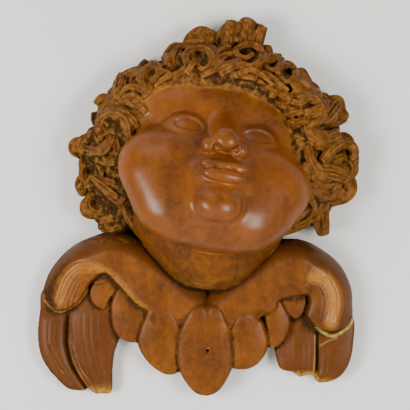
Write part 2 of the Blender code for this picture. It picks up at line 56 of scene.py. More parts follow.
# A socket that can be used in sums
class Wire:
    def __init__(self, tree, socket):
        self.tree = tree
        self.socket = socket

    def maths(self, operation, *others):
        return self.tree.node(
            "ShaderNodeMath", {"operation": operation}, dict(enumerate(others))
        )

    def __add__(self, other):
        return self.maths("ADD", self, other)

    def __radd__(self, other):
        return self.maths("ADD", other, self)

    def __sub__(self, other):
        return self.maths("SUBTRACT", self, other)

    def __rsub__(self, other):
        return self.maths("SUBTRACT", other, self)

    def __mul__(self, other):
        return self.maths("MULTIPLY", self, other)

    def __rmul__(self, other):
        return self.maths("MULTIPLY", other, self)

    def between(self, low, high):
        return self.tree.node(
            "ShaderNodeMapRange", {"clamp": True}, {0: self, 1: low, 2: high, 3: 0, 4: 1}
        )


# A node tree that is written as plain calls
class Tree:
    def __init__(self, tree):
        self.tree = tree

    def node(self, kind, settings=None, sockets=None, output=0):
        made = self.tree.nodes.new(kind)
        for name, value in (settings or {}).items():
            setattr(made, name, value)
        for name, value in (sockets or {}).items():
            if isinstance(value, Wire):
                self.tree.links.new(value.socket, made.inputs[name])
            else:
                made.inputs[name].default_value = value
        return Wire(self, made.outputs[output]) if made.outputs else made

    def mix(self, share, first, second):
        first = (*first, 1) if isinstance(first, tuple) else first
        second = (*second, 1) if isinstance(second, tuple) else second
        return self.node("ShaderNodeMix", {"data_type": "RGBA"}, {0: share, 6: first, 7: second}, 2)


def newMaterial(name):
    material = bpy.data.materials.new(name)
    material.use_nodes = True
    material.node_tree.nodes.clear()
    return material, Tree(material.node_tree)


# Meshes and objects

# One row of numbers for every item
def numbers(items, name, width, kind=np.float32):
    flat = np.empty(len(items) * width, kind)
    items.foreach_get(name, flat)
    return flat.reshape(-1, width)


def coordinates(mesh):
    return numbers(mesh.vertices, "co", 3).astype(float)


def setCoordinates(mesh, points):
    mesh.vertices.foreach_set("co", points.astype(np.float32).ravel())
    mesh.update()


def meshFrom(shape, name):
    mesh = bpy.data.meshes.new(name)
    shape.to_mesh(mesh)
    shape.free()
    return mesh


def placed(name, data):
    made = bpy.data.objects.new(name, data)
    bpy.context.scene.collection.objects.link(made)
    return made


# Distances from the head's surface, in millimetres of an infant's head:
# x to its side, y up, z forward

head = {
    "centre": (2, 39, 25),
    "looksUp": 35,
    "turnsRight": 9,
    "leansRight": 10,
    "scale": 1.38,
    "flattened": 0.80,
    "middle": (0, -12, 8),
    "detail": 7,
}


def ellipsoid(points, centre, radii):
    reach = np.array(radii, float)
    offset = points - np.array(centre, float)
    near = np.linalg.norm(offset / reach, axis=1)
    far = np.linalg.norm(offset / reach**2, axis=1)
    return near * (near - 1) / np.maximum(far, 1e-9)


def rod(points, start, end, startRadius, endRadius):
    start, end = np.array(start, float), np.array(end, float)
    along = end - start
    share = np.clip((points - start) @ along / (along @ along), 0, 1)
    distance = np.linalg.norm(points - start - share[:, None] * along, axis=1)
    return distance - (startRadius + (endRadius - startRadius) * share)


def join(first, second, blend):
    share = np.clip(0.5 + 0.5 * (second - first) / blend, 0, 1)
    return second * (1 - share) + first * share - blend * share * (1 - share)


def cut(solid, tool, blend):
    return -join(-solid, tool, blend)


def pair(points, centre, radii, blend):
    mirrored = points * (-1, 1, 1)
    return join(ellipsoid(points, centre, radii), ellipsoid(mirrored, centre, radii), blend)


# The head in the order it is carved: (how, form, its numbers, blend with the rest)
headForms = (
    (join, pair, ((25, 34, 20), (44, 36, 36), 20), 16),  # forehead
    (join, ellipsoid, ((0, -24, 14), (58, 50, 44)), 14),
    (join, pair, ((32, -25, 30), (37, 33, 30), 8), 9),  # cheeks
    (join, pair, ((20, -50, 24), (34, 26, 27), 12), 12),  # jowls
    (join, ellipsoid, ((0, -36, 52), (20, 17, 16)), 9),
    (join, ellipsoid, ((0, -60, 53), (16, 12, 12.5)), 8),  # chin
    (cut, pair, ((26, 5, 66), (19, 10.5, 11), 2), 9),  # eye sockets
    (join, pair, ((25, 2, 43), (17, 15.6, 15.8), 2), 3),  # lids
    (cut, pair, ((25, 1, 60), (13, 5.4, 9), 1), 1),
    (join, pair, ((25, 2, 42.5), (14.8, 14.4, 14.6), 1), 0.5),
    (join, rod, ((0, 8, 54), (0, -13, 69), 6.5, 8), 7),  # nose
    (join, ellipsoid, ((0, -16, 72.5), (9.6, 8.2, 8)), 3.5),
    (join, pair, ((10.8, -19, 65), (6.2, 6.2, 7.4), 1), 2.5),
    (cut, pair, ((6, -23.4, 70.5), (3.4, 3.8, 3.8), 0.5), 1.2),
    (join, pair, ((6.4, -36.4, 67.2), (11, 3.8, 5), 3), 2),  # lips
    (join, pair, ((4.4, -43.2, 66.2), (10, 4.4, 5.2), 4), 2),
    (cut, rod, ((-15, -38.4, 65), (0, -39.8, 73), 1.2, 1), 0.9),
    (cut, rod, ((15, -38.4, 65), (0, -39.8, 73), 1.2, 1), 0.9),
    (cut, pair, ((17.5, -38, 64), (2.6, 3, 3.8), 1), 3),
    (cut, ellipsoid, ((0, -60, 67), (3, 3, 2.6)), 2.2),
)


def headDistance(points):
    skull = ellipsoid(points, (8, 30, -6), (78, 67, 63))
    for how, form, sizes, blend in headForms:
        skull = how(skull, form(points, *sizes), blend)
    return skull


headTurn = np.array(
    Matrix.Rotation(-math.radians(head["leansRight"]), 3, "Z")
    @ Matrix.Rotation(math.radians(head["turnsRight"]), 3, "Y")
    @ Matrix.Rotation(-math.radians(head["looksUp"]), 3, "X")
)


def fromHead(points):
    placed = points * head["scale"] * (1, 1, head["flattened"])
    return placed @ headTurn.T + np.array(head["centre"], float)


def toHead(points):
    offset = (points - np.array(head["centre"], float)) @ headTurn
    return offset / (1, 1, head["flattened"]) / head["scale"]


def throatDistance(points):
    collar = ellipsoid(points, (4, -4, 28), (80, 60, 52))
    return join(collar, ellipsoid(points, (3, -44, 30), (44, 38, 40)), 24)


# A ball whose points slide along their rays until they meet a surface
def slidMesh(distance, middle, detail):
    ball = bmesh.new()
    bmesh.ops.create_icosphere(ball, subdivisions=detail, radius=1)
    mesh = meshFrom(ball, "slid")
    rays = coordinates(mesh)
    reach = np.full(len(rays), 130.0)  # starts outside every form
    for _ in range(40):
        reach -= 0.8 * distance(np.array(middle, float) + rays * reach[:, None])
    setCoordinates(mesh, np.array(middle, float) + rays * reach[:, None])
    return mesh


def ballMesh(centre, radii):
    made = bmesh.new()
    bmesh.ops.create_uvsphere(made, u_segments=96, v_segments=64, radius=1)
    bmesh.ops.scale(made, vec=radii, verts=made.verts)
    bmesh.ops.translate(made, vec=centre, verts=made.verts)
    return meshFrom(made, "ball")


# Wings: a relief of arms and feathers, each inside its own outline.
# A feather is (height, slope across, slope up, crown, edge, then x and y of each knot)

wings = {
    "gap": 2.2,  # depth of the knife line round each feather
    "gapWidth": 0.8,
    "rim": 0.5,
    "rimWidth": 1.3,
    "crease": 9,
    "web": 0.6,  # height of the wood where feathers part, as a share of theirs
    "grid": (-180, 156, -198, -16),
}
noWood = -30.0  # height of a cell with nothing in it
foot = -8  # where the blocks begin, behind the flat back
feathers = (
    # left wing, from the outermost
    (15, 0, 0.045, 3.5, 5, -166, -84, -169, -105, -171, -121, -171, -136, -168, -151, -160, -165,
     -150, -176, -141, -184, -131, -186, -123, -185, -129, -174, -138, -159, -143, -140, -143, -121,
     -142, -99),
    (13, 0, 0.03, 0, 2, -139, -103, -140, -121, -140, -140, -135, -160, -125, -177, -116, -187,
     -110, -189, -116, -175, -127, -159, -131, -131, -134, -105),
    (16, 0.02, 0.06, 3.5, 4, -121, -80, -129, -92, -137, -103, -139, -115, -139, -127, -136, -142,
     -129, -162, -122, -175, -113, -188, -107, -189, -97, -187, -96, -164, -94, -148, -90, -135,
     -86, -121, -86, -92),
    (23, 0, 0.03, 1.5, 2.5, -102, -66, -112, -72, -118, -84, -116, -95, -110, -101, -102, -102, -97,
     -92, -87, -79),
    (24, 0.05, 0.1, 2, 3, -87, -80, -95, -92, -97, -106, -95, -121, -89, -131, -79, -136, -70, -136,
     -65, -126, -61, -109, -74, -92),
    (26, 0.02, 0.13, 3, 4, -62, -108, -68, -123, -70, -136, -65, -149, -56, -160, -44, -168, -35,
     -169, -29, -165, -26, -148, -26, -126, -36, -104, -52, -98),
    # right wing, from the outermost
    (16, 0, 0.05, 2.5, 4, 112, -125, 112, -150, 112, -167, 109, -173, 115, -178, 129, -175, 139,
     -167, 145, -155, 148, -138, 148, -112, 130, -108),
    (15, 0, 0.05, 2, 3, 94, -100, 86, -112, 81, -127, 70, -143, 70, -149, 72, -159, 76, -165, 86,
     -167, 94, -172, 101, -170, 109, -168, 111, -150, 111, -132, 110, -110),
    (24, 0, 0.04, 1.5, 2.5, 72, -94, 78, -103, 85, -111, 91, -112, 97, -107, 100, -98, 99, -84, 86,
     -84),
    (25, -0.04, 0.09, 2, 3, 70, -90, 80, -104, 84, -115, 82, -126, 76, -136, 70, -141, 63, -141, 61,
     -127, 58, -104),
    (26, -0.02, 0.11, 3, 4, 44, -108, 55, -113, 59, -122, 62, -134, 60, -145, 55, -154, 47, -161,
     36, -164, 26, -161, 24, -144, 25, -122, 34, -108),
)
breastFeather = (
    29, 0, 0.1, 3, 5, 10, -98, 19, -112, 25, -130, 27, -144, 26, -159, 21, -172, 13, -184, 5, -189,
    -3, -190, -12, -187, -21, -177, -27, -166, -31, -148, -29, -128, -22, -112, -12, -98,
)
leftArm = {
    "top": ((-166, -92), (-166, -82), (-160, -66), (-149, -51), (-134, -38), (-116, -30),
            (-97, -25), (-70, -30), (-40, -52), (-14, -74), (2, -82)),
    "low": ((-161, -100), (-152, -104), (-142, -103), (-129, -95), (-121, -84), (-116, -75),
            (-102, -66), (-88, -79), (-62, -108), (-44, -120), (-28, -132), (-14, -142), (2, -146)),
    "heights": ((-166, 23), (-150, 28), (-130, 35), (-100, 40), (-60, 38), (-30, 34), (0, 31)),
}
rightArm = {
    "top": ((148, -113), (148, -101), (147, -84), (141, -68), (132, -55), (118, -44),
            (104, -36), (86, -32), (66, -36), (36, -58), (12, -76), (-2, -82)),
    "low": ((140, -120), (124, -125), (110, -121), (103, -114), (99, -107), (102, -96),
            (100, -88), (86, -90), (72, -94), (70, -103), (55, -110), (44, -116), (28, -128),
            (14, -141), (-2, -146)),
    "heights": ((-2, 31), (30, 34), (60, 38), (95, 40), (118, 36), (135, 30), (148, 24)),
}


# Points on a smooth curve through the given ones
def smoothLine(points, closed=False, steps=5):
    knots = np.array(points, float)
    if closed:
        knots = np.vstack([knots[-1], knots, knots[:2]])
    else:
        knots = np.vstack([knots[0], knots, knots[-1]])
    line = []
    for a, b, c, d in zip(knots, knots[1:], knots[2:], knots[3:]):
        for t in np.arange(0, 1, 1 / steps):
            line.append(0.5 * (2 * b + (c - a) * t + (2 * a - 5 * b + 4 * c - d) * t**2
                               + (3 * b - a - 3 * c + d) * t**3))
    if not closed:
        line.append(knots[-1])
    return np.array(line)


# How far each point is from a line, and which side of it, positive on the left
def lineDistance(x, y, line, closed=False):
    ends = np.roll(line, -1, axis=0) if closed else line[1:]
    nearest = np.full(x.shape, 1e9)
    side = np.zeros(x.shape)
    for (ax, ay), (bx, by) in zip(line, ends):
        dx, dy = bx - ax, by - ay
        share = np.clip(((x - ax) * dx + (y - ay) * dy) / max(dx * dx + dy * dy, 1e-9), 0, 1)
        distance = np.hypot(x - ax - share * dx, y - ay - share * dy)
        closer = distance < nearest
        nearest = np.where(closer, distance, nearest)
        side = np.where(closer, np.sign(dx * (y - ay) - dy * (x - ax)), side)
    return nearest, side


# True where a point lies inside a closed outline
def inside(x, y, outline):
    odd = np.zeros(x.shape, bool)
    for (ax, ay), (bx, by) in zip(outline, np.roll(outline, -1, axis=0)):
        if ay != by:
            crosses = (ay > y) != (by > y)
            odd ^= crosses & (x < (bx - ax) * (y - ay) / (by - ay) + ax)
    return odd


# Distance to the outline, positive inside
def outlineDepth(x, y, outline):
    distance, _ = lineDistance(x, y, outline, closed=True)
    return np.where(inside(x, y, outline), distance, -distance)


def rounded(depth, radius):
    short = 1 - np.clip(depth / radius, 0, 1)
    return np.sqrt(np.maximum(0, 1 - short**2))


def bump(distance, width):
    return np.exp(-((distance / width) ** 2))


# Lays one feather over those already there, with a knife line round it
def layFeather(z, x, y, feather):
    height, across, up, crown, edge, *knots = feather
    outline = smoothLine(np.reshape(knots, (-1, 2)), closed=True)
    depth = outlineDepth(x, y, outline)
    centre = outline.mean(axis=0)
    widest = max(depth.max(), 1)
    leaf = height + across * (x - centre[0]) + up * (y - centre[1])
    leaf = leaf - crown * (1 - np.clip(depth / widest, 0, 1)) ** 2
    apart = 1 - flowShare(x, y)
    leaf = leaf + wings["rim"] * bump(depth - 1.6, wings["rimWidth"]) * apart
    leaf = leaf * (0.74 + 0.26 * rounded(depth, edge))
    line = bump(np.minimum(depth, 0), wings["gapWidth"]) * (depth < 0) * (z > 0)
    z = z - wings["gap"] * apart * line
    return np.where(depth > 0, np.maximum(z, leaf), z)


def softMax(first, second, blend):
    share = np.clip(0.5 + 0.5 * (first - second) / blend, 0, 1)
    return second * (1 - share) + first * share + blend * share * (1 - share)


# Where the arms run smoothly into the feathers below them
def flowShare(x, y):
    middle = np.exp(-(((x + 4) / 60) ** 6))
    return middle * np.clip((-84 - y) / 22, 0, 1) * np.clip((y + 156) / 20, 0, 1)


# A broad band, rounded along its top and sloping down to its lower edge
def armHeight(x, y, arm):
    top = smoothLine(arm["top"])
    low = smoothLine(arm["low"])
    outline = np.vstack([top, low[::-1]])
    held = inside(x, y, outline)
    topDistance, _ = lineDistance(x, y, top)
    lowDistance, _ = lineDistance(x, y, low)
    places = np.array(arm["heights"], float)
    height = np.interp(x, places[:, 0], places[:, 1])
    band = height * (0.1 + 0.9 * rounded(topDistance, 21))
    band = band - 0.20 * np.maximum(0, topDistance - 20)
    band = band - 2.2 * (1 - np.clip(lowDistance / 9, 0, 1))  # the scraped facet
    soft = 2.6 + 24 * flowShare(x, y)
    band = band * (0.74 + 0.26 * rounded(lowDistance, soft))
    return np.where(held, band, noWood)


# Distance from a path, positive on its left, and how far along it, from 0 to 1
def sideOffset(x, y, points):
    line = smoothLine(points)
    distance, side = lineDistance(x, y, line)
    start, end = line[0], line[-1]
    run = end - start
    share = ((x - start[0]) * run[0] + (y - start[1]) * run[1]) / (run @ run)
    return distance * side, share


# Marks of the gouge: (path, pitch, first and last line, depth, width), where line 0 is
# the path and the next lie a pitch apart, to the left of it or to the right if negative
gougeMarks = (
    (((-112, -56), (-125, -54), (-135, -58), (-143, -66), (-148, -75), (-152, -86), (-155, -95)),
     4.2, (0, 5), 0.9, 0.8),
    (((106, -68), (118, -72), (125, -84), (127, -98), (124, -112)), -3.6, (-1, 3), 0.7, 0.7),
    (((-117, -100), (-118, -130), (-112, -160), (-106, -182)), 7.5, (-1, 1), 0.45, 0.8),
    (((86, -128), (86, -150), (87, -166)), -4.2, (0, 3), 0.8, 0.8),
    (((120, -134), (121, -150), (120, -170)), -5.5, (0, 4), 0.55, 0.7),
    (((-158, -108), (-160, -135), (-152, -160), (-138, -178)), 6.0, (0, 1), 0.5, 0.8),
)
# (path, depth, width)
cracks = (
    (((-159, -140), (-151, -156), (-143, -168), (-138, -177)), 1.6, 0.7),  # splinter mark
    (((111, -126), (111, -150), (110.5, -170)), 5.0, 1.0),  # between the last two feathers
)


# Flowing lines cut beside each other, and the splits in the wood
def gouge(x, y, z):
    for path, pitch, (first, last), depth, width in gougeMarks:
        offset, share = sideOffset(x, y, path)
        fade = np.clip(share * 6, 0, 1) * np.clip((1 - share) * 6, 0, 1)
        for number in range(first, last + 1):
            z = z - depth * fade * bump(offset - number * pitch, width) * (z > 4)
    for path, depth, width in cracks:
        offset, _ = sideOffset(x, y, path)
        z = z - depth * bump(offset, width) * (z > 4)
    return z


def wingHeight(x, y):
    z = np.full(x.shape, noWood)
    for feather in (*feathers, breastFeather):
        z = layFeather(z, x, y, feather)
    arms = np.maximum(armHeight(x, y, leftArm), armHeight(x, y, rightArm))
    flow = 0.6 + 12 * flowShare(x, y)
    z = np.where(arms > 0, np.where(z > 0, softMax(z, arms, flow), arms), z)
    crease = bump(x - 0.5 + 0.02 * (y + 95), 3) * np.clip((y + 114) / 30, 0, 1) ** 1.5
    z = z - wings["crease"] * crease * (z > 0)
    return gouge(x, y, z)


# Heights on an even grid, read between its points
class Relief:
    def __init__(self, x, y, z):
        self.x, self.y, self.z = x, y, z
        self.low = (x[0, 0], y[0, 0])
        self.step = x[0, 1] - x[0, 0]

    def read(self, x, y):
        rows, columns = self.z.shape
        fx = np.clip((x - self.low[0]) / self.step, 0, columns - 1.001)
        fy = np.clip((y - self.low[1]) / self.step, 0, rows - 1.001)
        i, j = fx.astype(int), fy.astype(int)
        u, v = fx - i, fy - j
        near = self.z[j, i] * (1 - u) + self.z[j, i + 1] * u
        far = self.z[j + 1, i] * (1 - u) + self.z[j + 1, i + 1] * u
        return near * (1 - v) + far * v


# Heights on a grid as a closed block, from the wall up
def blockMesh(x, y, z):
    heights = np.maximum(z, foot)
    rows, columns = heights.shape
    top = np.stack([x, y, heights], -1).reshape(-1, 3)
    number = np.arange(rows * columns).reshape(rows, columns)
    faces = np.stack([number[:-1, :-1], number[:-1, 1:], number[1:, 1:], number[1:, :-1]], -1)
    faces = faces.reshape(-1, 4)
    faces = faces[(heights.reshape(-1)[faces] > foot + 0.1).any(axis=1)]
    edges = np.concatenate([faces[:, [k, (k + 1) % 4]] for k in range(4)])
    known = {tuple(edge) for edge in edges.tolist()}
    rim = [edge for edge in known if (edge[1], edge[0]) not in known]
    base = top.copy()
    base[:, 2] = foot - 1
    count = len(top)
    walls = [(b, a, a + count, b + count) for a, b in rim]
    every = faces.tolist() + (faces[:, ::-1] + count).tolist() + walls
    mesh = bpy.data.meshes.new("block")
    mesh.from_pydata(np.vstack([top, base]).tolist(), [], every)
    return mesh


# Hair: carved locks that follow a low mound round the face.
# A lock is (x, y, heading, length, turn, tightening, width, level)

hair = {
    "centre": (8, 57),
    "reach": (124, 102),
    "edge": 16,
    "crown": 46,
    "hollow": 9,
    "layer": 4,
    "fillDepth": 3.2,
    "fillInset": 5,
    "fillReach": 9,
    "hairlineReach": 15,
    "hairlineRise": 6,
    "widen": 1.22,
    "thickness": 1.4,
    "groove": 0.42,
    "strand": 3.4,
    "fillGroove": 1.1,
    "steps": 34,
    "grid": (-160, 176, -50, 206),
}
locks = (
    (-83, 6, -75, 44, 25, 1, 7, 2), (-82, -14, 200, 28, -30, 1, 14, 0),
    (-90, 8, -50, 42, -155, 1.2, 10, 1), (-97, 19, -75, 60, -290, 1.5, 10, 2),
    (-107, 30, 170, 30, 130, 1.2, 13, 0), (-84, 9, 140, 36, 8, 1, 14, 1),
    (-103, 46, 160, 46, 185, 1.1, 8, 2), (-76, 68, 240, 52, -80, 1.2, 8, 1),
    (-92, 70, 255, 46, -125, 1, 11, 2), (-118, 49, 165, 34, -190, 1.1, 11, 0),
    (-98, 68, 165, 24, -10, 1, 10, 0), (-76, 70, 92, 56, 205, 1.3, 10, 3),
    (-67, 77, 115, 46, 110, 1.3, 9, 2), (-66, 93, 120, 22, 30, 1, 9, 1),
    (-96, 72, 120, 46, -210, 2.2, 11, 1), (-92, 68, 140, 34, -60, 1.2, 10, 0),
    (-58, 132, 165, 54, 155, 1.4, 11, 1), (-84, 104, 112, 31, -50, 1, 14, 0),
    (-82, 126, 260, 24, -20, 1, 9, 1), (-68, 130, 250, 26, 60, 1, 8, 1),
    (-44, 137, 160, 44, 205, 1.2, 9, 2), (-39, 128, 170, 22, 60, 1, 8, 1),
    (-40, 136, 95, 18, -10, 1, 8, 0), (-32, 138, 95, 26, -40, 1, 12, 0),
    (-29, 156, 210, 28, 120, 1.2, 8, 1), (12, 135, 90, 64, 140, 1, 10, 1),
    (-14, 154, 95, 19, -20, 1, 15, 0),
    (-1, 158, 92, 22, -20, 1, 17, 0), (20, 155, 85, 32, -5, 1, 12, 2),
    (30, 160, 88, 25, 0, 1, 9, 1), (38, 158, 88, 31, -10, 1, 14, 2),
    (47, 156, 80, 28, -20, 1, 13, 1),
    (10, 132, 32, 26, -14, 1, 9, 3), (8, 131, 98, 34, -70, 1.2, 8, 2),
    (16, 132, -5, 34, -10, 1, 8, 2), (60, 148, 85, 15, 0, 1, 9, 0),
    (54, 145, 15, 22, -10, 1, 12, 1), (67, 131, 75, 40, -220, 1.2, 8, 2),
    (86, 134, -10, 20, -50, 1, 12, 0), (84, 122, -5, 34, -60, 1, 12, 1),
    (56, 118, -15, 44, -30, 1, 8, 1), (86, 116, -25, 28, 50, 1, 8, 2),
    (87, 106, 20, 56, -220, 1.4, 9, 3), (116, 102, 80, 13, 0, 1, 9, 0),
    (114, 84, 55, 28, -5, 1, 17, 1), (118, 84, 12, 23, 10, 1, 11, 0),
    (98, 84, 30, 24, -60, 1, 12, 1), (99, 81, -60, 38, 115, 1, 8, 2),
    (99, 75, -60, 40, 115, 1, 8, 3), (97, 64, -25, 34, 50, 1, 8, 2),
    (112, 44, 52, 56, -230, 2.6, 10, 3), (119, 43, 38, 46, -200, 1.6, 11, 1),
    (99, 60, -95, 32, 55, 1, 8, 3), (97, 46, -70, 34, 70, 1, 7, 2),
    (104, 36, 0, 40, -25, 1, 17, 2), (100, 26, -15, 38, 40, 1, 11, 2),
    (99, 22, -60, 44, 115, 1, 9, 2), (116, 6, 5, 40, 85, 1, 14, 0),
    (97, 14, -40, 38, -130, 1.2, 7, 2), (112, 10, -100, 26, 10, 1, 9, 1),
    (119, 6, -92, 26, 0, 1, 8, 0), (114, -4, -85, 25, 5, 1, 14, 0),
    (104, -10, 205, 34, 0, 1, 13, 1), (98, -2, 215, 30, 10, 1, 9, 2),
)
# Scooped locks laid over the others: (width, level, then x and y of each knot)
scoops = (
    (8, 1, -127, 52, -134, 55, -135, 63, -129, 67, -121, 64, -124, 58),
    (10, 3, -126, 60, -114, 56, -103, 55, -95, 61, -93, 69),
    (9, 2, -120, 51, -109, 49, -98, 44, -87, 46, -80, 55, -72, 66),
    (8, 2, -113, 52, -122, 49, -125, 42, -122, 34, -112, 29),
    (6, 2, -114, 50, -107, 42, -104, 33, -110, 27), (8, 1, -119, 33, -127, 28, -129, 19, -124, 11),
    (9, 3, -118, 28, -105, 22, -95, 12, -86, 5, -81, 11),
    (7, 2, -107, 28, -95, 25, -83, 18, -76, 10),
    (8, 2, -97, 8, -104, 11, -115, 10, -123, 3, -122, -6, -113, -9, -103, -6, -101, 1, -108, 4,
     -114, 1), (8, 3, -107, -14, -99, -12, -90, -10, -84, -3, -86, 5),
    (9, 1, -106, -22, -95, -21, -84, -17, -78, -8, -80, 2),
    (7, 2, -84, 5, -76, -8, -70, -20, -63, -30),
    (8, 2, -112, 103, -105, 110, -97, 107, -96, 99, -102, 91, -105, 82),
    (8, 1, -113, 95, -112, 86, -104, 76, -94, 70),
    (6, 2, -122, 67, -112, 73, -104, 70, -109, 64, -117, 65),
    (7, 2, -92, 71, -88, 61, -90, 51, -99, 47), (7, 1, -64, 82, -74, 65, -83, 52, -88, 42, -88, 30),
    (6, 3, -82, 74, -75, 68, -77, 58, -84, 53), (6, 2, -78, 40, -84, 28, -82, 16),
    # right side, from the top down
    (8, 2, 84, 110, 92, 117, 100, 119, 107, 114), (7, 3, 83, 103, 91, 102, 98, 106, 104, 112),
    (10, 3, 95, 92, 107, 95, 115, 100, 117, 107, 110, 112),
    (10, 1, 122, 108, 132, 107, 135, 96, 139, 91, 131, 85), (7, 1, 115, 96, 118, 88, 127, 85),
    (9, 2, 97, 89, 101, 77, 110, 71, 119, 72, 128, 77),
    (8, 3, 97, 79, 101, 69, 112, 64, 123, 67, 131, 71),
    (9, 1, 125, 67, 136, 71, 143, 67, 144, 59, 138, 55), (7, 3, 119, 47, 124, 56, 132, 63, 138, 67),
    (9, 1, 143, 60, 148, 51, 147, 41, 141, 35, 132, 41, 124, 46),
    (9, 3, 99, 55, 103, 45, 110, 37, 119, 33, 128, 38, 136, 39, 142, 33),
    (9, 3, 96, 44, 101, 33, 114, 24, 126, 23, 135, 27, 138, 34),
    (10, 1, 144, 30, 146, 22, 144, 13, 136, 6, 124, 3),
    (8, 3, 99, 23, 108, 15, 119, 13, 128, 17, 133, 23), (7, 3, 97, 16, 103, 6, 107, -3),
    (6, 2, 107, 0, 108, -15, 114, -26, 119, -24, 120, -14, 120, -3),
    (7, 2, 80, -25, 89, -18, 99, -15, 102, -3), (6, 3, 84, -10, 89, -3, 95, 1, 100, 9),
    # top, from the left
    (8, 3, -57, 143, -49, 139, -47, 131, -53, 123, -57, 118),
    (6, 4, -46, 134, -37, 129, -45, 123, -51, 117), (8, 1, -43, 148, -39, 155, -33, 162, -25, 163),
    (7, 2, -41, 139, -36, 147, -29, 153, -26, 158),
    (8, 3, -38, 128, -27, 131, -19, 138, -21, 147, -17, 155, -7, 158, 3, 152, 5, 142, -2, 135, -9,
     138, -8, 145), (7, 2, -33, 155, -27, 160, -15, 165, -1, 163, 8, 156, 11, 146, 9, 136),
    (11, 0, -21, 164, -16, 171, -6, 177, 4, 174, 8, 167),
    (9, 1, 13, 162, 13, 171, 19, 180, 25, 185, 31, 183), (8, 2, 24, 164, 31, 173, 29, 182),
    (7, 1, 42, 165, 38, 174, 34, 181, 37, 187, 44, 186, 50, 180, 54, 173, 54, 165),
    (8, 4, 13, 129, 19, 133, 31, 139, 43, 137, 53, 144, 54, 154, 47, 161, 37, 161, 29, 156, 31, 149,
     39, 147, 46, 152), (8, 3, 11, 131, 12, 141, 17, 149, 28, 152),
    (7, 3, 55, 146, 65, 149, 73, 145, 71, 137, 63, 135, 57, 139),
    (7, 3, 69, 130, 71, 139, 80, 143, 87, 137, 85, 127, 77, 123, 72, 128),
    (7, 3, 83, 118, 91, 123, 99, 119, 107, 111), (7, 2, 88, 130, 98, 126, 107, 118),
    (6, 0, 55, 156, 59, 160, 64, 158, 64, 152), (7, 0, 89, 134, 96, 137, 103, 129),
    (6, 3, 43, 129, 55, 131, 63, 127, 71, 121, 80, 114), (6, 4, 30, 130, 43, 134, 55, 127, 64, 119),
    (6, 4, -20, 130, -15, 138, -12, 146), (6, 3, -6, 128, 4, 132, 10, 138),
    # left temple
    (7, 2, -58, 128, -66, 132, -74, 127, -74, 118), (8, 2, -62, 100, -70, 108, -80, 108, -86, 101),
    (7, 3, -60, 112, -68, 117, -78, 118, -85, 112), (6, 3, -60, 92, -66, 98, -74, 99),
    (8, 1, -88, 122, -94, 116, -94, 107, -88, 101), (6, 3, -54, 122, -58, 112, -64, 106),
)
hairline = {
    "centre": (6, 44),
    "reach": (84, 88),
    "from": -22,
    "to": 200,
    "count": 46,
    "length": 26,
    "width": 8,
    "rise": 4,
}
rearCurls = {"count": 23, "length": 30, "width": 21, "height": 8, "inset": 0.8, "thickness": 0.42}
# Plain balls that fill the form: (centre, radii)
lumps = (
    ((-90, 6, 6), (30, 32, 30)),  # hair beside the throat
    ((102, 10, 6), (26, 30, 32)),
    ((0, -55, 0), (78, 44, 16)),  # the block behind the throat
)


# Where a point lies on the mound, 1 at its rim
def moundPlace(x, y):
    (middleX, middleY), (reachX, reachY) = hair["centre"], hair["reach"]
    return (x - middleX) / reachX, (y - middleY) / reachY


def hairHeight(x, y):
    across, up = moundPlace(x, y)
    return hair["edge"] + hair["crown"] * np.sqrt(np.maximum(0, 1 - across**2 - up**2))


def lockStations(x, y, heading, length, turn, tightening, width, level):
    stations = []
    steps = hair["steps"]
    for step in range(steps + 1):
        share = step / steps
        taper = min(1, 0.72 + 1.2 * share) * (1 - 0.35 * share**3)
        if step == steps:
            taper *= 0.6
        height = hairHeight(x, y) + hair["layer"] * level + 3 * share
        stations.append((x, y, height, hair["widen"] * width / 2 * taper))
        direction = math.radians(heading + turn * share**tightening)
        x += length / steps * math.cos(direction)
        y += length / steps * math.sin(direction)
    return stations


# A lock along a drawn path, narrow at its root and curled to a point
def scoopStations(width, level, *knots):
    line = smoothLine(np.reshape(knots, (-1, 2)), steps=6)
    count = len(line) - 1
    stations = []
    for step, (x, y) in enumerate(line):
        share = step / count
        taper = 0.6 + 0.4 * math.sin(math.pi * min(1, share + 0.15))
        taper *= 0.6 if step == count else 1
        height = hairHeight(x, y) + hair["layer"] * level + 2.5 * math.sin(math.pi * share)
        stations.append((x, y, height, width / 2 * taper))
    return stations


# The highest value within reach of each cell, or the lowest
def spread(grid, reach, lowest=False):
    pick = np.minimum if lowest else np.maximum
    result = grid.copy()
    for row in range(-reach, reach + 1):
        for column in range(-reach, reach + 1):
            if 0 < row * row + column * column <= reach * reach:
                result = pick(result, np.roll(grid, (row, column), (0, 1)))
    return result


# Fills what is narrower than twice the reach
def closedOver(grid, reach):
    return spread(spread(grid, reach), reach, lowest=True)


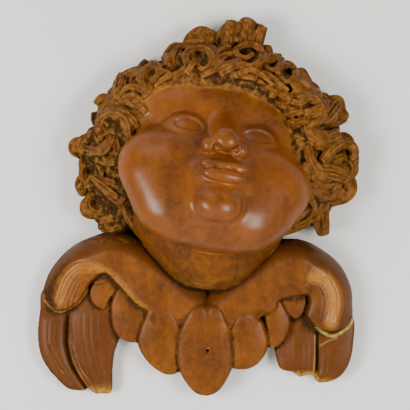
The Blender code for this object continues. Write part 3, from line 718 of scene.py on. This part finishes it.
# The wood left standing between the locks and the face, as heights on a grid
def hairFill(paths, skin):
    left, right, low, high = hair["grid"]
    x, y = np.meshgrid(np.arange(left, right, 1.0), np.arange(low, high, 1.0))
    z = np.full(x.shape, noWood)
    beside = np.full(x.shape, 60.0)  # distance from the nearest lock
    for path in paths:
        for px, py, pz, halfWidth in path[::2]:
            reach = int(halfWidth) + 16
            column, row = int(round(px - left)), int(round(py - low))
            rows = slice(max(0, row - reach), row + reach + 1)
            columns = slice(max(0, column - reach), column + reach + 1)
            away = np.hypot(x[rows, columns] - px, y[rows, columns] - py)
            cells = rows, columns
            z[cells] = np.maximum(z[cells], np.where(away < halfWidth, pz, noWood))
            beside[cells] = np.minimum(beside[cells], np.maximum(0, away - halfWidth))
    kept = skin[(skin[:, 1] > -20) & (skin[:, 2] > 20)]
    rows, columns = (kept[:, 1] - low).astype(int), (kept[:, 0] - left).astype(int)
    level = np.minimum(kept[:, 2] - 4, hairHeight(kept[:, 0], kept[:, 1]) + hair["hairlineRise"])
    np.maximum.at(z, (rows, columns), level)
    across, up = moundPlace(x, y)
    nearFace = np.hypot(across, up) < 0.86
    joined = closedOver(z, hair["hairlineReach"])
    closed = np.where(nearFace, joined, closedOver(z, hair["fillReach"]))
    closed = np.where(spread(closed, hair["fillInset"], lowest=True) > 0, closed, foot)
    lowered = blurred(np.maximum(closed, foot), 1) - hair["fillDepth"]
    filled = Relief(x, y, np.where(closed > 0, lowered, foot))
    beside = Relief(x, y, blurred(beside, 1))
    x, y = np.meshgrid(np.arange(left + 1, right - 2, 0.5), np.arange(low + 1, high - 2, 0.5))
    strands = np.cos(beside.read(x, y) * 2 * math.pi / hair["strand"])
    z = filled.read(x, y)
    return x, y, np.where(z > 4, z - hair["fillGroove"] * (1 + strands) / 2, z)


# Short strands all along the hairline, springing from the edge of the face
def hairlineStations():
    paths = []
    count = hairline["count"]
    for number in range(count):
        share = number / (count - 1)
        angle = math.radians(hairline["from"] + (hairline["to"] - hairline["from"]) * share)
        sway = math.sin(number * 2.3)
        x = hairline["centre"][0] + hairline["reach"][0] * math.cos(angle)
        y = hairline["centre"][1] + hairline["reach"][1] * math.sin(angle)
        heading = math.degrees(angle) + 55 * sway - 20
        length = hairline["length"] * (1 + 0.3 * math.sin(number * 1.7))
        path = lockStations(x, y, heading, length, -150 * sway, 1.1, hairline["width"], 0)
        paths.append([(x, y, z + hairline["rise"] * math.sin(math.pi * i / (len(path) - 1)), w)
                      for i, (x, y, z, w) in enumerate(path)])
    return paths


def rearStations(number):
    angle = math.radians(-32 + 244 * number / (rearCurls["count"] - 1))
    x = hair["centre"][0] + rearCurls["inset"] * hair["reach"][0] * math.cos(angle)
    y = hair["centre"][1] + rearCurls["inset"] * hair["reach"][1] * math.sin(angle)
    side = 1 if number % 2 else -1
    heading = math.degrees(angle) - 60 * side
    length, width = rearCurls["length"], rearCurls["width"]
    stations = lockStations(x, y, heading, length, 150 * side, 1.2, width, 0)
    return [(x, y, rearCurls["height"], halfWidth) for x, y, _, halfWidth in stations]


# A tree that draws a gouged, flattened section along every curve
def ribbonTree():
    group = bpy.data.node_groups.new("carvedLock", "GeometryNodeTree")
    for name, kind, default in (
        ("Curves", "NodeSocketGeometry", None), ("Thickness", "NodeSocketFloat", 1.0),
        ("Ridges", "NodeSocketFloat", 2.0), ("Groove", "NodeSocketFloat", 0.3),
        ("Corners", "NodeSocketInt", 24), ("Wood", "NodeSocketMaterial", None),
    ):
        socket = group.interface.new_socket(name, in_out="INPUT", socket_type=kind)
        if default is not None:
            socket.default_value = default
    group.interface.new_socket("Mesh", in_out="OUTPUT", socket_type="NodeSocketGeometry")
    tree = Tree(group)
    given = group.nodes.new("NodeGroupInput")
    curves, thickness, ridges, groove, corners, wood = (Wire(tree, s) for s in given.outputs[:6])
    evenSizes = {"Resolution": corners, "Radius": 1.0}
    circle = tree.node("GeometryNodeCurvePrimitiveCircle", None, evenSizes)
    place = tree.node("GeometryNodeInputPosition")
    across = tree.node("ShaderNodeSeparateXYZ", None, {0: place}, 0)
    out = tree.node("ShaderNodeSeparateXYZ", None, {0: place}, 1)
    turn = (across + 1) * ridges * math.pi
    wave = 0.5 - 0.5 * turn.maths("COSINE", turn)
    gouged = 1 - wave * groove * out.maths("LESS_THAN", out, 0.0)
    shaped = tree.node("ShaderNodeCombineXYZ", None, {0: across, 1: out * thickness * gouged})
    section = tree.node("GeometryNodeSetPosition", None, {"Geometry": circle, "Position": shaped})
    level = tree.node("GeometryNodeSetCurveNormal", {"mode": "Z_UP"}, {"Curve": curves})
    radius = tree.node("GeometryNodeInputRadius")
    swept = tree.node(
        "GeometryNodeCurveToMesh", None,
        {"Curve": level, "Profile Curve": section, "Scale": radius, "Fill Caps": True},
    )
    real = tree.node("GeometryNodeRealizeInstances", None, {"Geometry": swept})
    finished = tree.node("GeometryNodeSetMaterial", None, {"Geometry": real, "Material": wood})
    tree.node("NodeGroupOutput", None, {0: finished})
    return group


def evaluatedMesh(made):
    graph = bpy.context.evaluated_depsgraph_get()
    return bpy.data.meshes.new_from_object(made.evaluated_get(graph))


# Every path drawn with one section, as a plain mesh
def ribbonMesh(group, paths, **sizes):
    curve = bpy.data.curves.new("paths", "CURVE")
    curve.dimensions = "3D"
    for path in paths:
        spline = curve.splines.new("POLY")
        spline.points.add(len(path) - 1)
        for point, (x, y, z, halfWidth) in zip(spline.points, path):
            point.co = (x, y, z, 1)
            point.radius = halfWidth
    guide = placed("paths", curve)
    modifier = guide.modifiers.new("carve", "NODES")
    modifier.node_group = group
    for item in group.interface.items_tree:
        if item.name in sizes:
            modifier[item.identifier] = sizes[item.name]
    mesh = evaluatedMesh(guide)
    bpy.data.objects.remove(guide)
    return mesh


# Wood

finish = {
    # deep: dark patina with painted shade in the hollows
    "deep": (0.030, 0.013, 0.003),
    # brown: the wood's darker tone, also laid on as painted shade near the wall and on wing faces
    # that turn upwards
    "brown": (0.078, 0.023, 0.003),
    "honey": (0.235, 0.073, 0.008),
    "flush": (0.23, 0.052, 0.003),
    # wornAndSheen: wood rubbed bright on the ridges, and a painted sheen on the rubbed bands
    "wornAndSheen": (0.52, 0.22, 0.03),
    "dust": (0.34, 0.175, 0.035),
    "bare": (0.36, 0.19, 0.035),
    "glue": (0.36, 0.26, 0.06),
}


def woodMaterial():
    material, tree = newMaterial("carvedWood")
    place = tree.node("ShaderNodeTexCoord", None, None, 3)

    def noise(scale, detail, rough=0.5, stretch=(1, 1, 1)):
        stretched = tree.node("ShaderNodeMapping", None, {"Vector": place, "Scale": stretch})
        sizes = {"Vector": stretched, "Scale": scale, "Detail": detail, "Roughness": rough}
        return tree.node("ShaderNodeTexNoise", None, sizes)

    def painted(name):
        return tree.node("ShaderNodeAttribute", {"attribute_name": name}, None, 2)

    hollow, ridge, face = painted("hollow"), painted("ridge"), painted("face")
    dust, bare, glue, shade = painted("dust"), painted("bare"), painted("glue"), painted("shade")
    dim, shine, hairy = painted("dim"), painted("shine"), painted("hair")
    cloud = noise(22, 3)
    fine = noise(420, 4, 0.6)
    grain = noise(95, 5, 0.62, (1, 1, 0.10))
    fibre = noise(420, 3, 0.6, (1, 1, 0.05))
    blotch = noise(60, 4, 0.6)
    speck = noise(230, 3, 0.6)
    patch = blotch + (speck - blotch) * hairy

    tone = (cloud * 0.4 + grain * 0.35 + blotch * 0.3 + speck * 0.3 - 0.20).between(0.34, 0.68)
    colour = tree.mix(tone, finish["brown"], finish["honey"])
    colour = tree.mix(face * (cloud * 1.6 - 0.35).between(0.0, 1.0) * 0.55, colour, finish["flush"])
    # darker tone on the primaries, hair and throat, and painted shade on wing faces that turn
    # upwards
    colour = tree.mix(dim * 0.75, colour, finish["brown"])
    # lighter where ridges are worn, with a painted sheen on the rubbed bands
    wornAndSheen = (ridge * (0.45 + fine * 0.9)).between(0.22, 0.95)
    colour = tree.mix(wornAndSheen * 0.72, colour, finish["wornAndSheen"])
    colour = tree.mix(dust * patch.between(0.40, 0.66), colour, finish["dust"])
    # dark patina with painted shade in the hollows
    dark = (hollow * (2.3 - speck * 2.6)).between(0.2, 0.95)
    colour = tree.mix(dark * 0.93, colour, finish["deep"])
    colour = tree.mix(shade * 0.6, colour, finish["brown"])
    crumbs = speck * 0.6 + fine * 0.6
    colour = tree.mix(bare * crumbs.between(0.42, 0.66), colour, finish["bare"])
    colour = tree.mix(glue * (0.45 + crumbs.between(0.5, 0.66) * 0.55), colour, finish["glue"])
    rough = 0.46 + hollow * 0.34 + dust * 0.12 + bare * 0.2 + (fine - 0.5) * 0.2
    coat = (0.08 + shine - hollow * 0.4 - dust * 0.3 - bare * 0.5).between(0.0, 1.0)
    relief = fine * 0.20 + fibre * 0.22 + grain * 0.35
    depth = {"Strength": 0.35, "Distance": 0.0006, "Height": relief}
    normal = tree.node("ShaderNodeBump", None, depth)
    shader = tree.node("ShaderNodeBsdfPrincipled", None, {
        "Base Color": colour, "Roughness": rough, "Coat Weight": coat, "Normal": normal,
        "Coat Roughness": 0.27, "Specular IOR Level": 0.10,
    })
    tree.node("ShaderNodeOutputMaterial", None, {0: shader})
    return material


# Putting the carving together

def modified(made, kind, **settings):
    modifier = made.modifiers.new(kind.lower(), kind)
    for name, value in settings.items():
        setattr(modifier, name, value)
    old = made.data
    made.data = evaluatedMesh(made)
    made.modifiers.clear()
    bpy.data.meshes.remove(old)


def joinedObject(name, shapes):
    whole = bmesh.new()
    for shape in shapes:
        whole.from_mesh(shape)
        bpy.data.meshes.remove(shape)
    return placed(name, meshFrom(whole, name))


# Drops loose crumbs that the skin left behind
def keepLargest(mesh):
    count = len(mesh.vertices)
    edges = numbers(mesh.edges, "vertices", 2, np.int32)
    label = np.arange(count)
    while True:
        least = np.minimum(label[edges[:, 0]], label[edges[:, 1]])
        before = label.copy()
        np.minimum.at(label, edges[:, 0], least)
        np.minimum.at(label, edges[:, 1], least)
        label = label[label]
        if (label == before).all():
            break
    names, sizes = np.unique(label, return_counts=True)
    loose = label != names[sizes.argmax()]
    if loose.any():
        whole = bmesh.new()
        whole.from_mesh(mesh)
        whole.verts.ensure_lookup_table()
        crumbs = [whole.verts[i] for i in np.flatnonzero(loose)]
        bmesh.ops.delete(whole, geom=crumbs, context="VERTS")
        whole.to_mesh(mesh)
        whole.free()


# Moves the skin back onto the face and the wings after its softening
def sharpen(mesh, relief):
    points = coordinates(mesh)
    for _ in range(2):
        local = toHead(points)
        away = headDistance(local)
        near = np.flatnonzero(np.abs(away) < 1.1)
        spot = local[near]
        step = 0.05
        rise = [headDistance(spot + step * a) - headDistance(spot - step * a) for a in np.eye(3)]
        slope = np.stack(rise, -1) / (2 * step)
        length = np.maximum((slope**2).sum(axis=1), 0.25)
        spot = spot - slope * (away[near] / length)[:, None]
        points[near] = fromHead(spot)
    x, y, _ = points.T
    height = relief.read(x, y)
    reach = relief.step * 1.2
    slopeX = relief.read(x + reach, y) - relief.read(x - reach, y)
    slopeY = relief.read(x, y + reach) - relief.read(x, y - reach)
    steep = np.hypot(slopeX, slopeY) / (2 * reach)
    near = (np.abs(points[:, 2] - height) < 1.6) & (steep < 1.4) & (height > 1)
    points[near, 2] = height[near]
    setCoordinates(mesh, points)


# Cuts off what lies behind a plane and closes the cut
def planeBack(made, line):
    whole = bmesh.new()
    whole.from_mesh(made.data)
    everything = list(whole.verts) + list(whole.edges) + list(whole.faces)
    cutLine = bmesh.ops.bisect_plane(
        whole, geom=everything, dist=1e-4, plane_co=(0, 0, line), plane_no=(0, 0, -1),
        clear_outer=True,
    )["geom_cut"]
    rim = [part for part in cutLine if isinstance(part, bmesh.types.BMEdge)]
    bmesh.ops.holes_fill(whole, edges=rim)
    bmesh.ops.triangulate(whole, faces=[face for face in whole.faces if len(face.verts) > 4])
    whole.to_mesh(made.data)
    whole.free()


nail = {"place": (0.5, -143, 0), "radius": 1.6, "length": 140, "sides": 24}


def drillNailHole(made):
    cutter = bmesh.new()
    bmesh.ops.create_cone(
        cutter, cap_ends=True, segments=nail["sides"], depth=nail["length"],
        radius1=nail["radius"], radius2=nail["radius"],
    )
    bmesh.ops.translate(cutter, vec=nail["place"], verts=cutter.verts)
    tool = placed("nail", meshFrom(cutter, "nail"))
    modified(made, "BOOLEAN", operation="DIFFERENCE", object=tool, solver="EXACT")
    bpy.data.objects.remove(tool)


# Three box blurs, close to a bell curve
def blurred(values, radius):
    span = 2 * radius + 1
    for _ in range(3):
        for axis in (0, 1):
            ends = [(0, 0), (0, 0)]
            ends[axis] = (radius, radius + 1)
            total = np.cumsum(np.pad(values, ends, "edge"), axis)
            length = values.shape[axis]
            upper = np.take(total, range(span, span + length), axis)
            lower = np.take(total, range(0, length), axis)
            values = (upper - lower) / span
    return values


def edgeAverage(values, edges, degree):
    total = np.zeros_like(values)
    np.add.at(total, edges[:, 0], values[edges[:, 1]])
    np.add.at(total, edges[:, 1], values[edges[:, 0]])
    return total / (degree if values.ndim == 1 else degree[:, None])


# Painted values for each point, none on the plain flat back
def paint(mesh, **marks):
    shown = coordinates(mesh)[:, 2] > 0.4
    for name, values in marks.items():
        layer = mesh.attributes.new(name, "FLOAT", "POINT")
        layer.data.foreach_set("value", (np.clip(values, 0, 1) * shown).astype(np.float32))


def lineShare(x, y, points, width):
    distance, _ = lineDistance(x, y, smoothLine(points))
    return np.clip(1.4 * (1 - distance / width), 0, 1)


# Painted marks, by where they run: (path, width, strength)
glueLines = (
    (((110, -121), (116, -126), (126, -130), (134, -127), (143, -120), (147, -113)), 2.0, 1),
    (((114, -140), (122, -135), (131, -132)), 1.0, 0.5),
    (((109, -130), (109, -150), (108, -168)), 1.2, 0.6),
)
bareLines = (
    (((-164, -94), (-152, -105), (-142, -104), (-129, -96), (-120, -84)), 1.2, 0.8),
)
# Rubbed bright wood with a painted sheen, on the lobes, the left arm's lower facet and the breast
# feather
rubbedAndSheen = (
    (((106, -68), (118, -72), (126, -84), (128, -98), (124, -114)), 13, 0.75),
    (((-116, -60), (-132, -62), (-142, -74), (-148, -94)), 12, 0.55),
    (((-110, -60), (-94, -68), (-78, -86), (-60, -106)), 8, 0.65),
    (((14, -118), (24, -122)), 8, 0.4),
)
throatCrack = (((28, -42), (30, -54), (27, -72)), 0.9, 0.8)
# Bare wood at the broken tips: (left end, right end, where it starts, how far it fades in)
brokenTips = ((-118, -94, -178, 9), (108, 200, -173, 4), (72, 112, -165, 4))


def drawn(x, y, lines):
    share = np.zeros(len(x))
    for path, width, strength in lines:
        share = np.maximum(share, strength * lineShare(x, y, path, width))
    return share


def marksNearby(x, y):
    wider = [(path, width + 2, 1) for path, width, _ in (*glueLines, *bareLines, throatCrack)]
    return drawn(x, y, wider) > 0


# Where dirt and dark patina have settled, where the wood is rubbed bright and the marks of its age,
# with painted shade in the hollows, on the hair towards the wall and on wing faces turned up, and a
# painted sheen on some rubbed bands
def paintWearAndShade(mesh, fill, relief):
    points = coordinates(mesh)
    x, y, z = points.T
    edges = numbers(mesh.edges, "vertices", 2, np.int32)
    degree = np.maximum(np.bincount(edges.ravel(), minlength=len(points)), 1).astype(float)
    normals = numbers(mesh.vertices, "normal", 3).astype(float)
    bend = ((edgeAverage(points, edges, degree) - points) * normals).sum(axis=1)
    lengths = np.linalg.norm(points[edges[:, 0]] - points[edges[:, 1]], axis=1)
    size = np.zeros(len(points))
    np.add.at(size, edges[:, 0], lengths)
    np.add.at(size, edges[:, 1], lengths)
    bend = bend / np.maximum(size / degree, 1e-6) ** 2
    fineBend = edgeAverage(bend, edges, degree)
    for _ in range(3):
        bend = edgeAverage(bend, edges, degree)
    # mean heights seen from the front, on a grid of whole units
    columns = (x - x.min()).astype(int) + 2
    rows = (y - y.min()).astype(int) + 2
    front = normals[:, 2] > 0.05
    total = np.zeros((rows.max() + 3, columns.max() + 3))
    amount = total.copy()
    np.add.at(total, (rows[front], columns[front]), z[front])
    np.add.at(amount, (rows[front], columns[front]), 1)
    solid = (amount > 0).astype(float)
    grid = total / np.maximum(amount, 1)

    def around(radius):
        weight = np.maximum(blurred(solid, radius), 0.02)
        return (blurred(grid, radius) / weight)[rows, columns]

    away = headDistance(toHead(points))
    face = np.clip(1 - np.abs(away) / 1.5, 0, 1) * (y > -70)
    throat = np.clip(2 - np.abs(throatDistance(points)), 0, 1) * (y > -100) * (np.abs(x) < 80)
    hairy = (y > -36) * (1 - face) * (1 - throat)
    # hollow: dark patina with painted shade, deepest in pits, grooves, creases and the wood between
    # the locks
    near = np.clip((around(2) - z - 0.4) / 2.6, 0, 1) * (1 - face)
    pit = np.clip((around(3) - z - 3.5) / 6, 0, 1) * hairy
    wide = np.clip((around(6) - z) / 12, 0, 1)
    between = np.clip(1 - np.abs(z - fill.read(x, y)) / 1.6, 0, 1) * hairy
    furrow = np.clip(1.6 * fineBend, 0, 1) * hairy
    hollow = near * (1 - 0.3 * hairy) + pit * (1 - 0.6 * between)
    hollow = hollow + 1.2 * np.clip(bend, 0, 1) + 0.7 * furrow
    # painted shade: the hair darkens towards the wall
    lowHairShade = 0.38 * hairy * np.clip((36 - z) / 18, 0, 1)
    hollow = np.maximum(np.clip(hollow, 0, 1) * (1 - 0.6 * throat), lowHairShade)
    ridge = np.clip(-fineBend * 1.5, 0, 1) * (1 - wide)
    hidden = edgeAverage(1 - face, edges, degree)
    for _ in range(8):
        hidden = edgeAverage(hidden, edges, degree)
    dust = 0.5 * face * np.clip(hidden * 2, 0, 1) * (1 - 0.4 * hollow)
    cheekEdge = np.clip((0.5 - normals[:, 2]) / 0.4, 0, 1) * (y > -25) * (np.abs(x - 2) > 62)
    dust = np.maximum(dust, 0.7 * face * cheekEdge)
    dust = np.maximum(dust, 0.6 * between)
    dust = np.maximum(dust, hairy * np.clip(0.3 + 0.5 * near + 0.5 * furrow, 0, 0.9))
    hollow = np.maximum(hollow, 0.42 * between)
    dust = np.maximum(dust, throat * np.clip((-60 - y) / 60, 0, 0.3))
    wing = (np.abs(z - relief.read(x, y)) < 2) * (1 - throat)
    ridge = ridge * (1 - 0.55 * face + 0.6 * hairy + 1.4 * wing)
    # painted sheen on the rubbed bands
    ridge = np.maximum(ridge, wing * drawn(x, y, rubbedAndSheen))
    # dark patina with painted shade in the hollows of the wings
    grimeAndShade = wing * np.clip((around(3) - z - 0.2) / 3, 0, 1) * (normals[:, 2] > 0.3)
    hollow = np.maximum(hollow, 0.62 * grimeAndShade)
    quills = (np.abs(x + 8) > 86) * np.clip((-98 - y) / 8, 0, 1)
    # painted shade: wing faces that turn upwards are darkened
    upper = np.clip((normals[:, 1] + 0.05) / 0.5, 0, 1)
    dim = np.maximum(wing * np.maximum(0.15 + upper, 0.95 * quills), 0.75 * hairy)
    bare = drawn(x, y, bareLines) * (z > 12)
    for left, right, first, fade in brokenTips:
        tip = np.clip((first - y) / fade, 0, 1) * (x > left) * (x < right)
        bare = np.maximum(bare, tip)
    paint(
        mesh,
        hollow=np.maximum(hollow, throat * drawn(x, y, [throatCrack])),
        ridge=ridge,
        face=face,
        hair=hairy,
        shine=0.32 * face * np.clip((normals[:, 2] - 0.2) / 0.6, 0, 1) + 0.2 * ridge,
        dust=dust,
        shade=np.clip(1 - z / 12, 0, 1) * (np.abs(normals[:, 2]) < 0.45),
        dim=np.maximum(dim, 0.35 * throat),
        bare=bare * (normals[:, 2] > -0.5),
        glue=drawn(x, y, glueLines) * (z > 4),
    )


def ridgesOn(width):
    return min(5, max(2, round(width / hair["strand"])))


def buildCarving(wood):
    step = carving["fieldStep"]
    left, right, low, high = wings["grid"]
    x, y = np.meshgrid(np.arange(left, right, step), np.arange(low, high, step))
    z = wingHeight(x, y)
    closed = closedOver(z, round(3 / step))
    relief = Relief(x, y, np.where((z < 2) & (closed > 0), wings["web"] * closed, z))
    print("wings drawn")
    group = ribbonTree()
    skull = slidMesh(headDistance, head["middle"], head["detail"])
    setCoordinates(skull, fromHead(coordinates(skull)))
    throat = slidMesh(throatDistance, (4, -20, 24), 6)
    skin = np.vstack([coordinates(skull), coordinates(throat)])
    middle = (*hair["centre"], hair["edge"] - hair["hollow"])
    mound = ballMesh(middle, (*hair["reach"], hair["crown"]))
    scooped = [scoopStations(*scoop) for scoop in scoops]
    fill = Relief(*hairFill([lockStations(*lock) for lock in locks] + scooped, skin))
    blocks = [blockMesh(field.x, field.y, field.z) for field in (relief, fill)]
    shapes = [skull, throat, *(ballMesh(*lump) for lump in lumps), mound, *blocks]
    # (paths, thickness, ridges, groove, corners)
    ribbons = []
    for ridges in (2, 3, 4, 5):
        paths = [lockStations(*lock) for lock in locks if ridgesOn(lock[6]) == ridges]
        ribbons.append((paths, hair["thickness"], ridges, hair["groove"], 10 * ridges))
    rear = [rearStations(number) for number in range(rearCurls["count"])]
    ribbons.append((rear, rearCurls["thickness"], 3, 0.25, 32))
    ribbons.append((scooped, 1.35, 1, 0.62, 20))
    ribbons.append((hairlineStations(), 1.2, 2, hair["groove"], 20))
    for paths, thickness, ridges, groove, corners in ribbons:
        if paths:
            shapes.append(ribbonMesh(
                group, paths, Wood=wood, Thickness=thickness, Ridges=float(ridges),
                Groove=groove, Corners=corners,
            ))
    print("locks carved")
    made = joinedObject("carvedHead", shapes)
    modified(made, "REMESH", mode="VOXEL", voxel_size=carving["voxel"])
    print("one skin", len(made.data.vertices))
    modified(made, "SMOOTH", factor=0.5, iterations=carving["smoothing"])
    keepLargest(made.data)
    sharpen(made.data, relief)
    planeBack(made, -0.6)
    triangles = sum(len(face.vertices) - 2 for face in made.data.polygons)
    points = coordinates(made.data)
    kept = made.vertex_groups.new(name="kept")
    near = marksNearby(points[:, 0], points[:, 1]) & (points[:, 2] > 3)
    kept.add(np.flatnonzero(near).tolist(), 1, "REPLACE")
    modified(
        made, "DECIMATE", ratio=min(1, carving["triangles"] / triangles),
        use_collapse_triangulate=True, vertex_group="kept", invert_vertex_group=True,
        vertex_group_factor=1,
    )
    planeBack(made, 0)
    drillNailHole(made)
    print("thinned to", len(made.data.polygons))
    facing = numbers(made.data.polygons, "normal", 3)
    made.data.polygons.foreach_set("use_smooth", facing[:, 2] > -0.95)  # the back stays flat
    paintWearAndShade(made.data, fill, relief)
    points = coordinates(made.data) * (unit, unit, depthUnit)
    setCoordinates(made.data, np.stack([points[:, 0], -points[:, 2], points[:, 1]], -1))
    made.data.materials.clear()
    made.data.materials.append(wood)
    return made


# The pale wall behind, the floor below, soft light and the camera

studio = {
    "wall": (0.79, 0.788, 0.782),
    "wallGap": 0.004,
    "wallSpan": (-1.2, 2.5),
    "floorLevel": -0.7,
    "reach": 3,
    "sky": (1, 0.98, 0.95, 1),
    "skyStrength": 0.31,
    "frameWidth": 0.3237,  # what the picture shows, at focusDepth before the wall
    "focusDepth": 0.02,
    "lens": 120,
    "sensor": 36,
    "centre": (-0.0016, 0.0016),
}
# (name, place, size, power, colour), each aimed at the origin
lamps = (
    ("leftSoftbox", (-0.80, -0.95, -0.12), (0.45, 0.6), 18.5, (1, 0.96, 0.90)),
    ("rightSoftbox", (0.70, -1.0, -0.10), (0.35, 0.6), 13.5, (1, 0.96, 0.90)),
    ("topSoftbox", (-0.3, -0.5, 1.2), (0.9, 0.5), 3, (1, 1, 1)),
)


def stagePlane(name, corners, paper):
    mesh = bpy.data.meshes.new(name)
    mesh.from_pydata(corners, [], [(0, 1, 2, 3)])
    mesh.materials.append(paper)
    made = placed(name, mesh)
    return made


# Pale paper that can be seen through from behind
def paperMaterial():
    material, tree = newMaterial("palePaper")
    paper = tree.node("ShaderNodeBsdfDiffuse", None, {"Color": (*studio["wall"], 1)})
    clear = tree.node("ShaderNodeBsdfTransparent")
    behind = tree.node("ShaderNodeNewGeometry", None, None, "Backfacing")
    shown = tree.node("ShaderNodeMixShader", None, {0: behind, 1: paper, 2: clear})
    tree.node("ShaderNodeOutputMaterial", None, {0: shown})
    return material


def areaLight(name, place, size, power, colour):
    lamp = bpy.data.lights.new(name, "AREA")
    lamp.shape = "RECTANGLE"
    lamp.size, lamp.size_y = size
    lamp.energy = power
    lamp.color = colour
    made = placed(name, lamp)
    made.location = place
    made.rotation_euler = (-Vector(place)).to_track_quat("-Z", "Y").to_euler()


def buildStudio():
    paper = paperMaterial()
    reach, back, level = studio["reach"], studio["wallGap"], studio["floorLevel"]
    low, high = studio["wallSpan"]
    sides = ((-reach, low), (reach, low), (reach, high), (-reach, high))
    wall = stagePlane("wall", [(x, back, z) for x, z in sides], paper)
    wall.visible_shadow = False  # so that light also reaches the flat back
    wall.visible_diffuse = False
    sides = ((-reach, -reach), (reach, -reach), (reach, reach), (-reach, reach))
    stagePlane("floor", [(x, y, level) for x, y in sides], paper)
    world = bpy.data.worlds.new("studio")
    world.use_nodes = True
    sky = world.node_tree.nodes["Background"].inputs
    sky[0].default_value = studio["sky"]
    sky[1].default_value = studio["skyStrength"]
    bpy.context.scene.world = world
    for lamp in lamps:
        areaLight(*lamp)
    camera = bpy.data.cameras.new("camera")
    camera.lens = studio["lens"]
    camera.sensor_width = studio["sensor"]
    distance = studio["frameWidth"] * studio["lens"] / studio["sensor"] + studio["focusDepth"]
    made = placed("camera", camera)
    made.location = (studio["centre"][0], -distance, studio["centre"][1])
    made.rotation_euler = (math.radians(90), 0, 0)
    bpy.context.scene.camera = made


wood = woodMaterial()
carved = buildCarving(wood)
carved.name = "carvedHead"
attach(carved, "root")
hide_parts("winged_cherub_head")
buildStudio()
print("studio set")
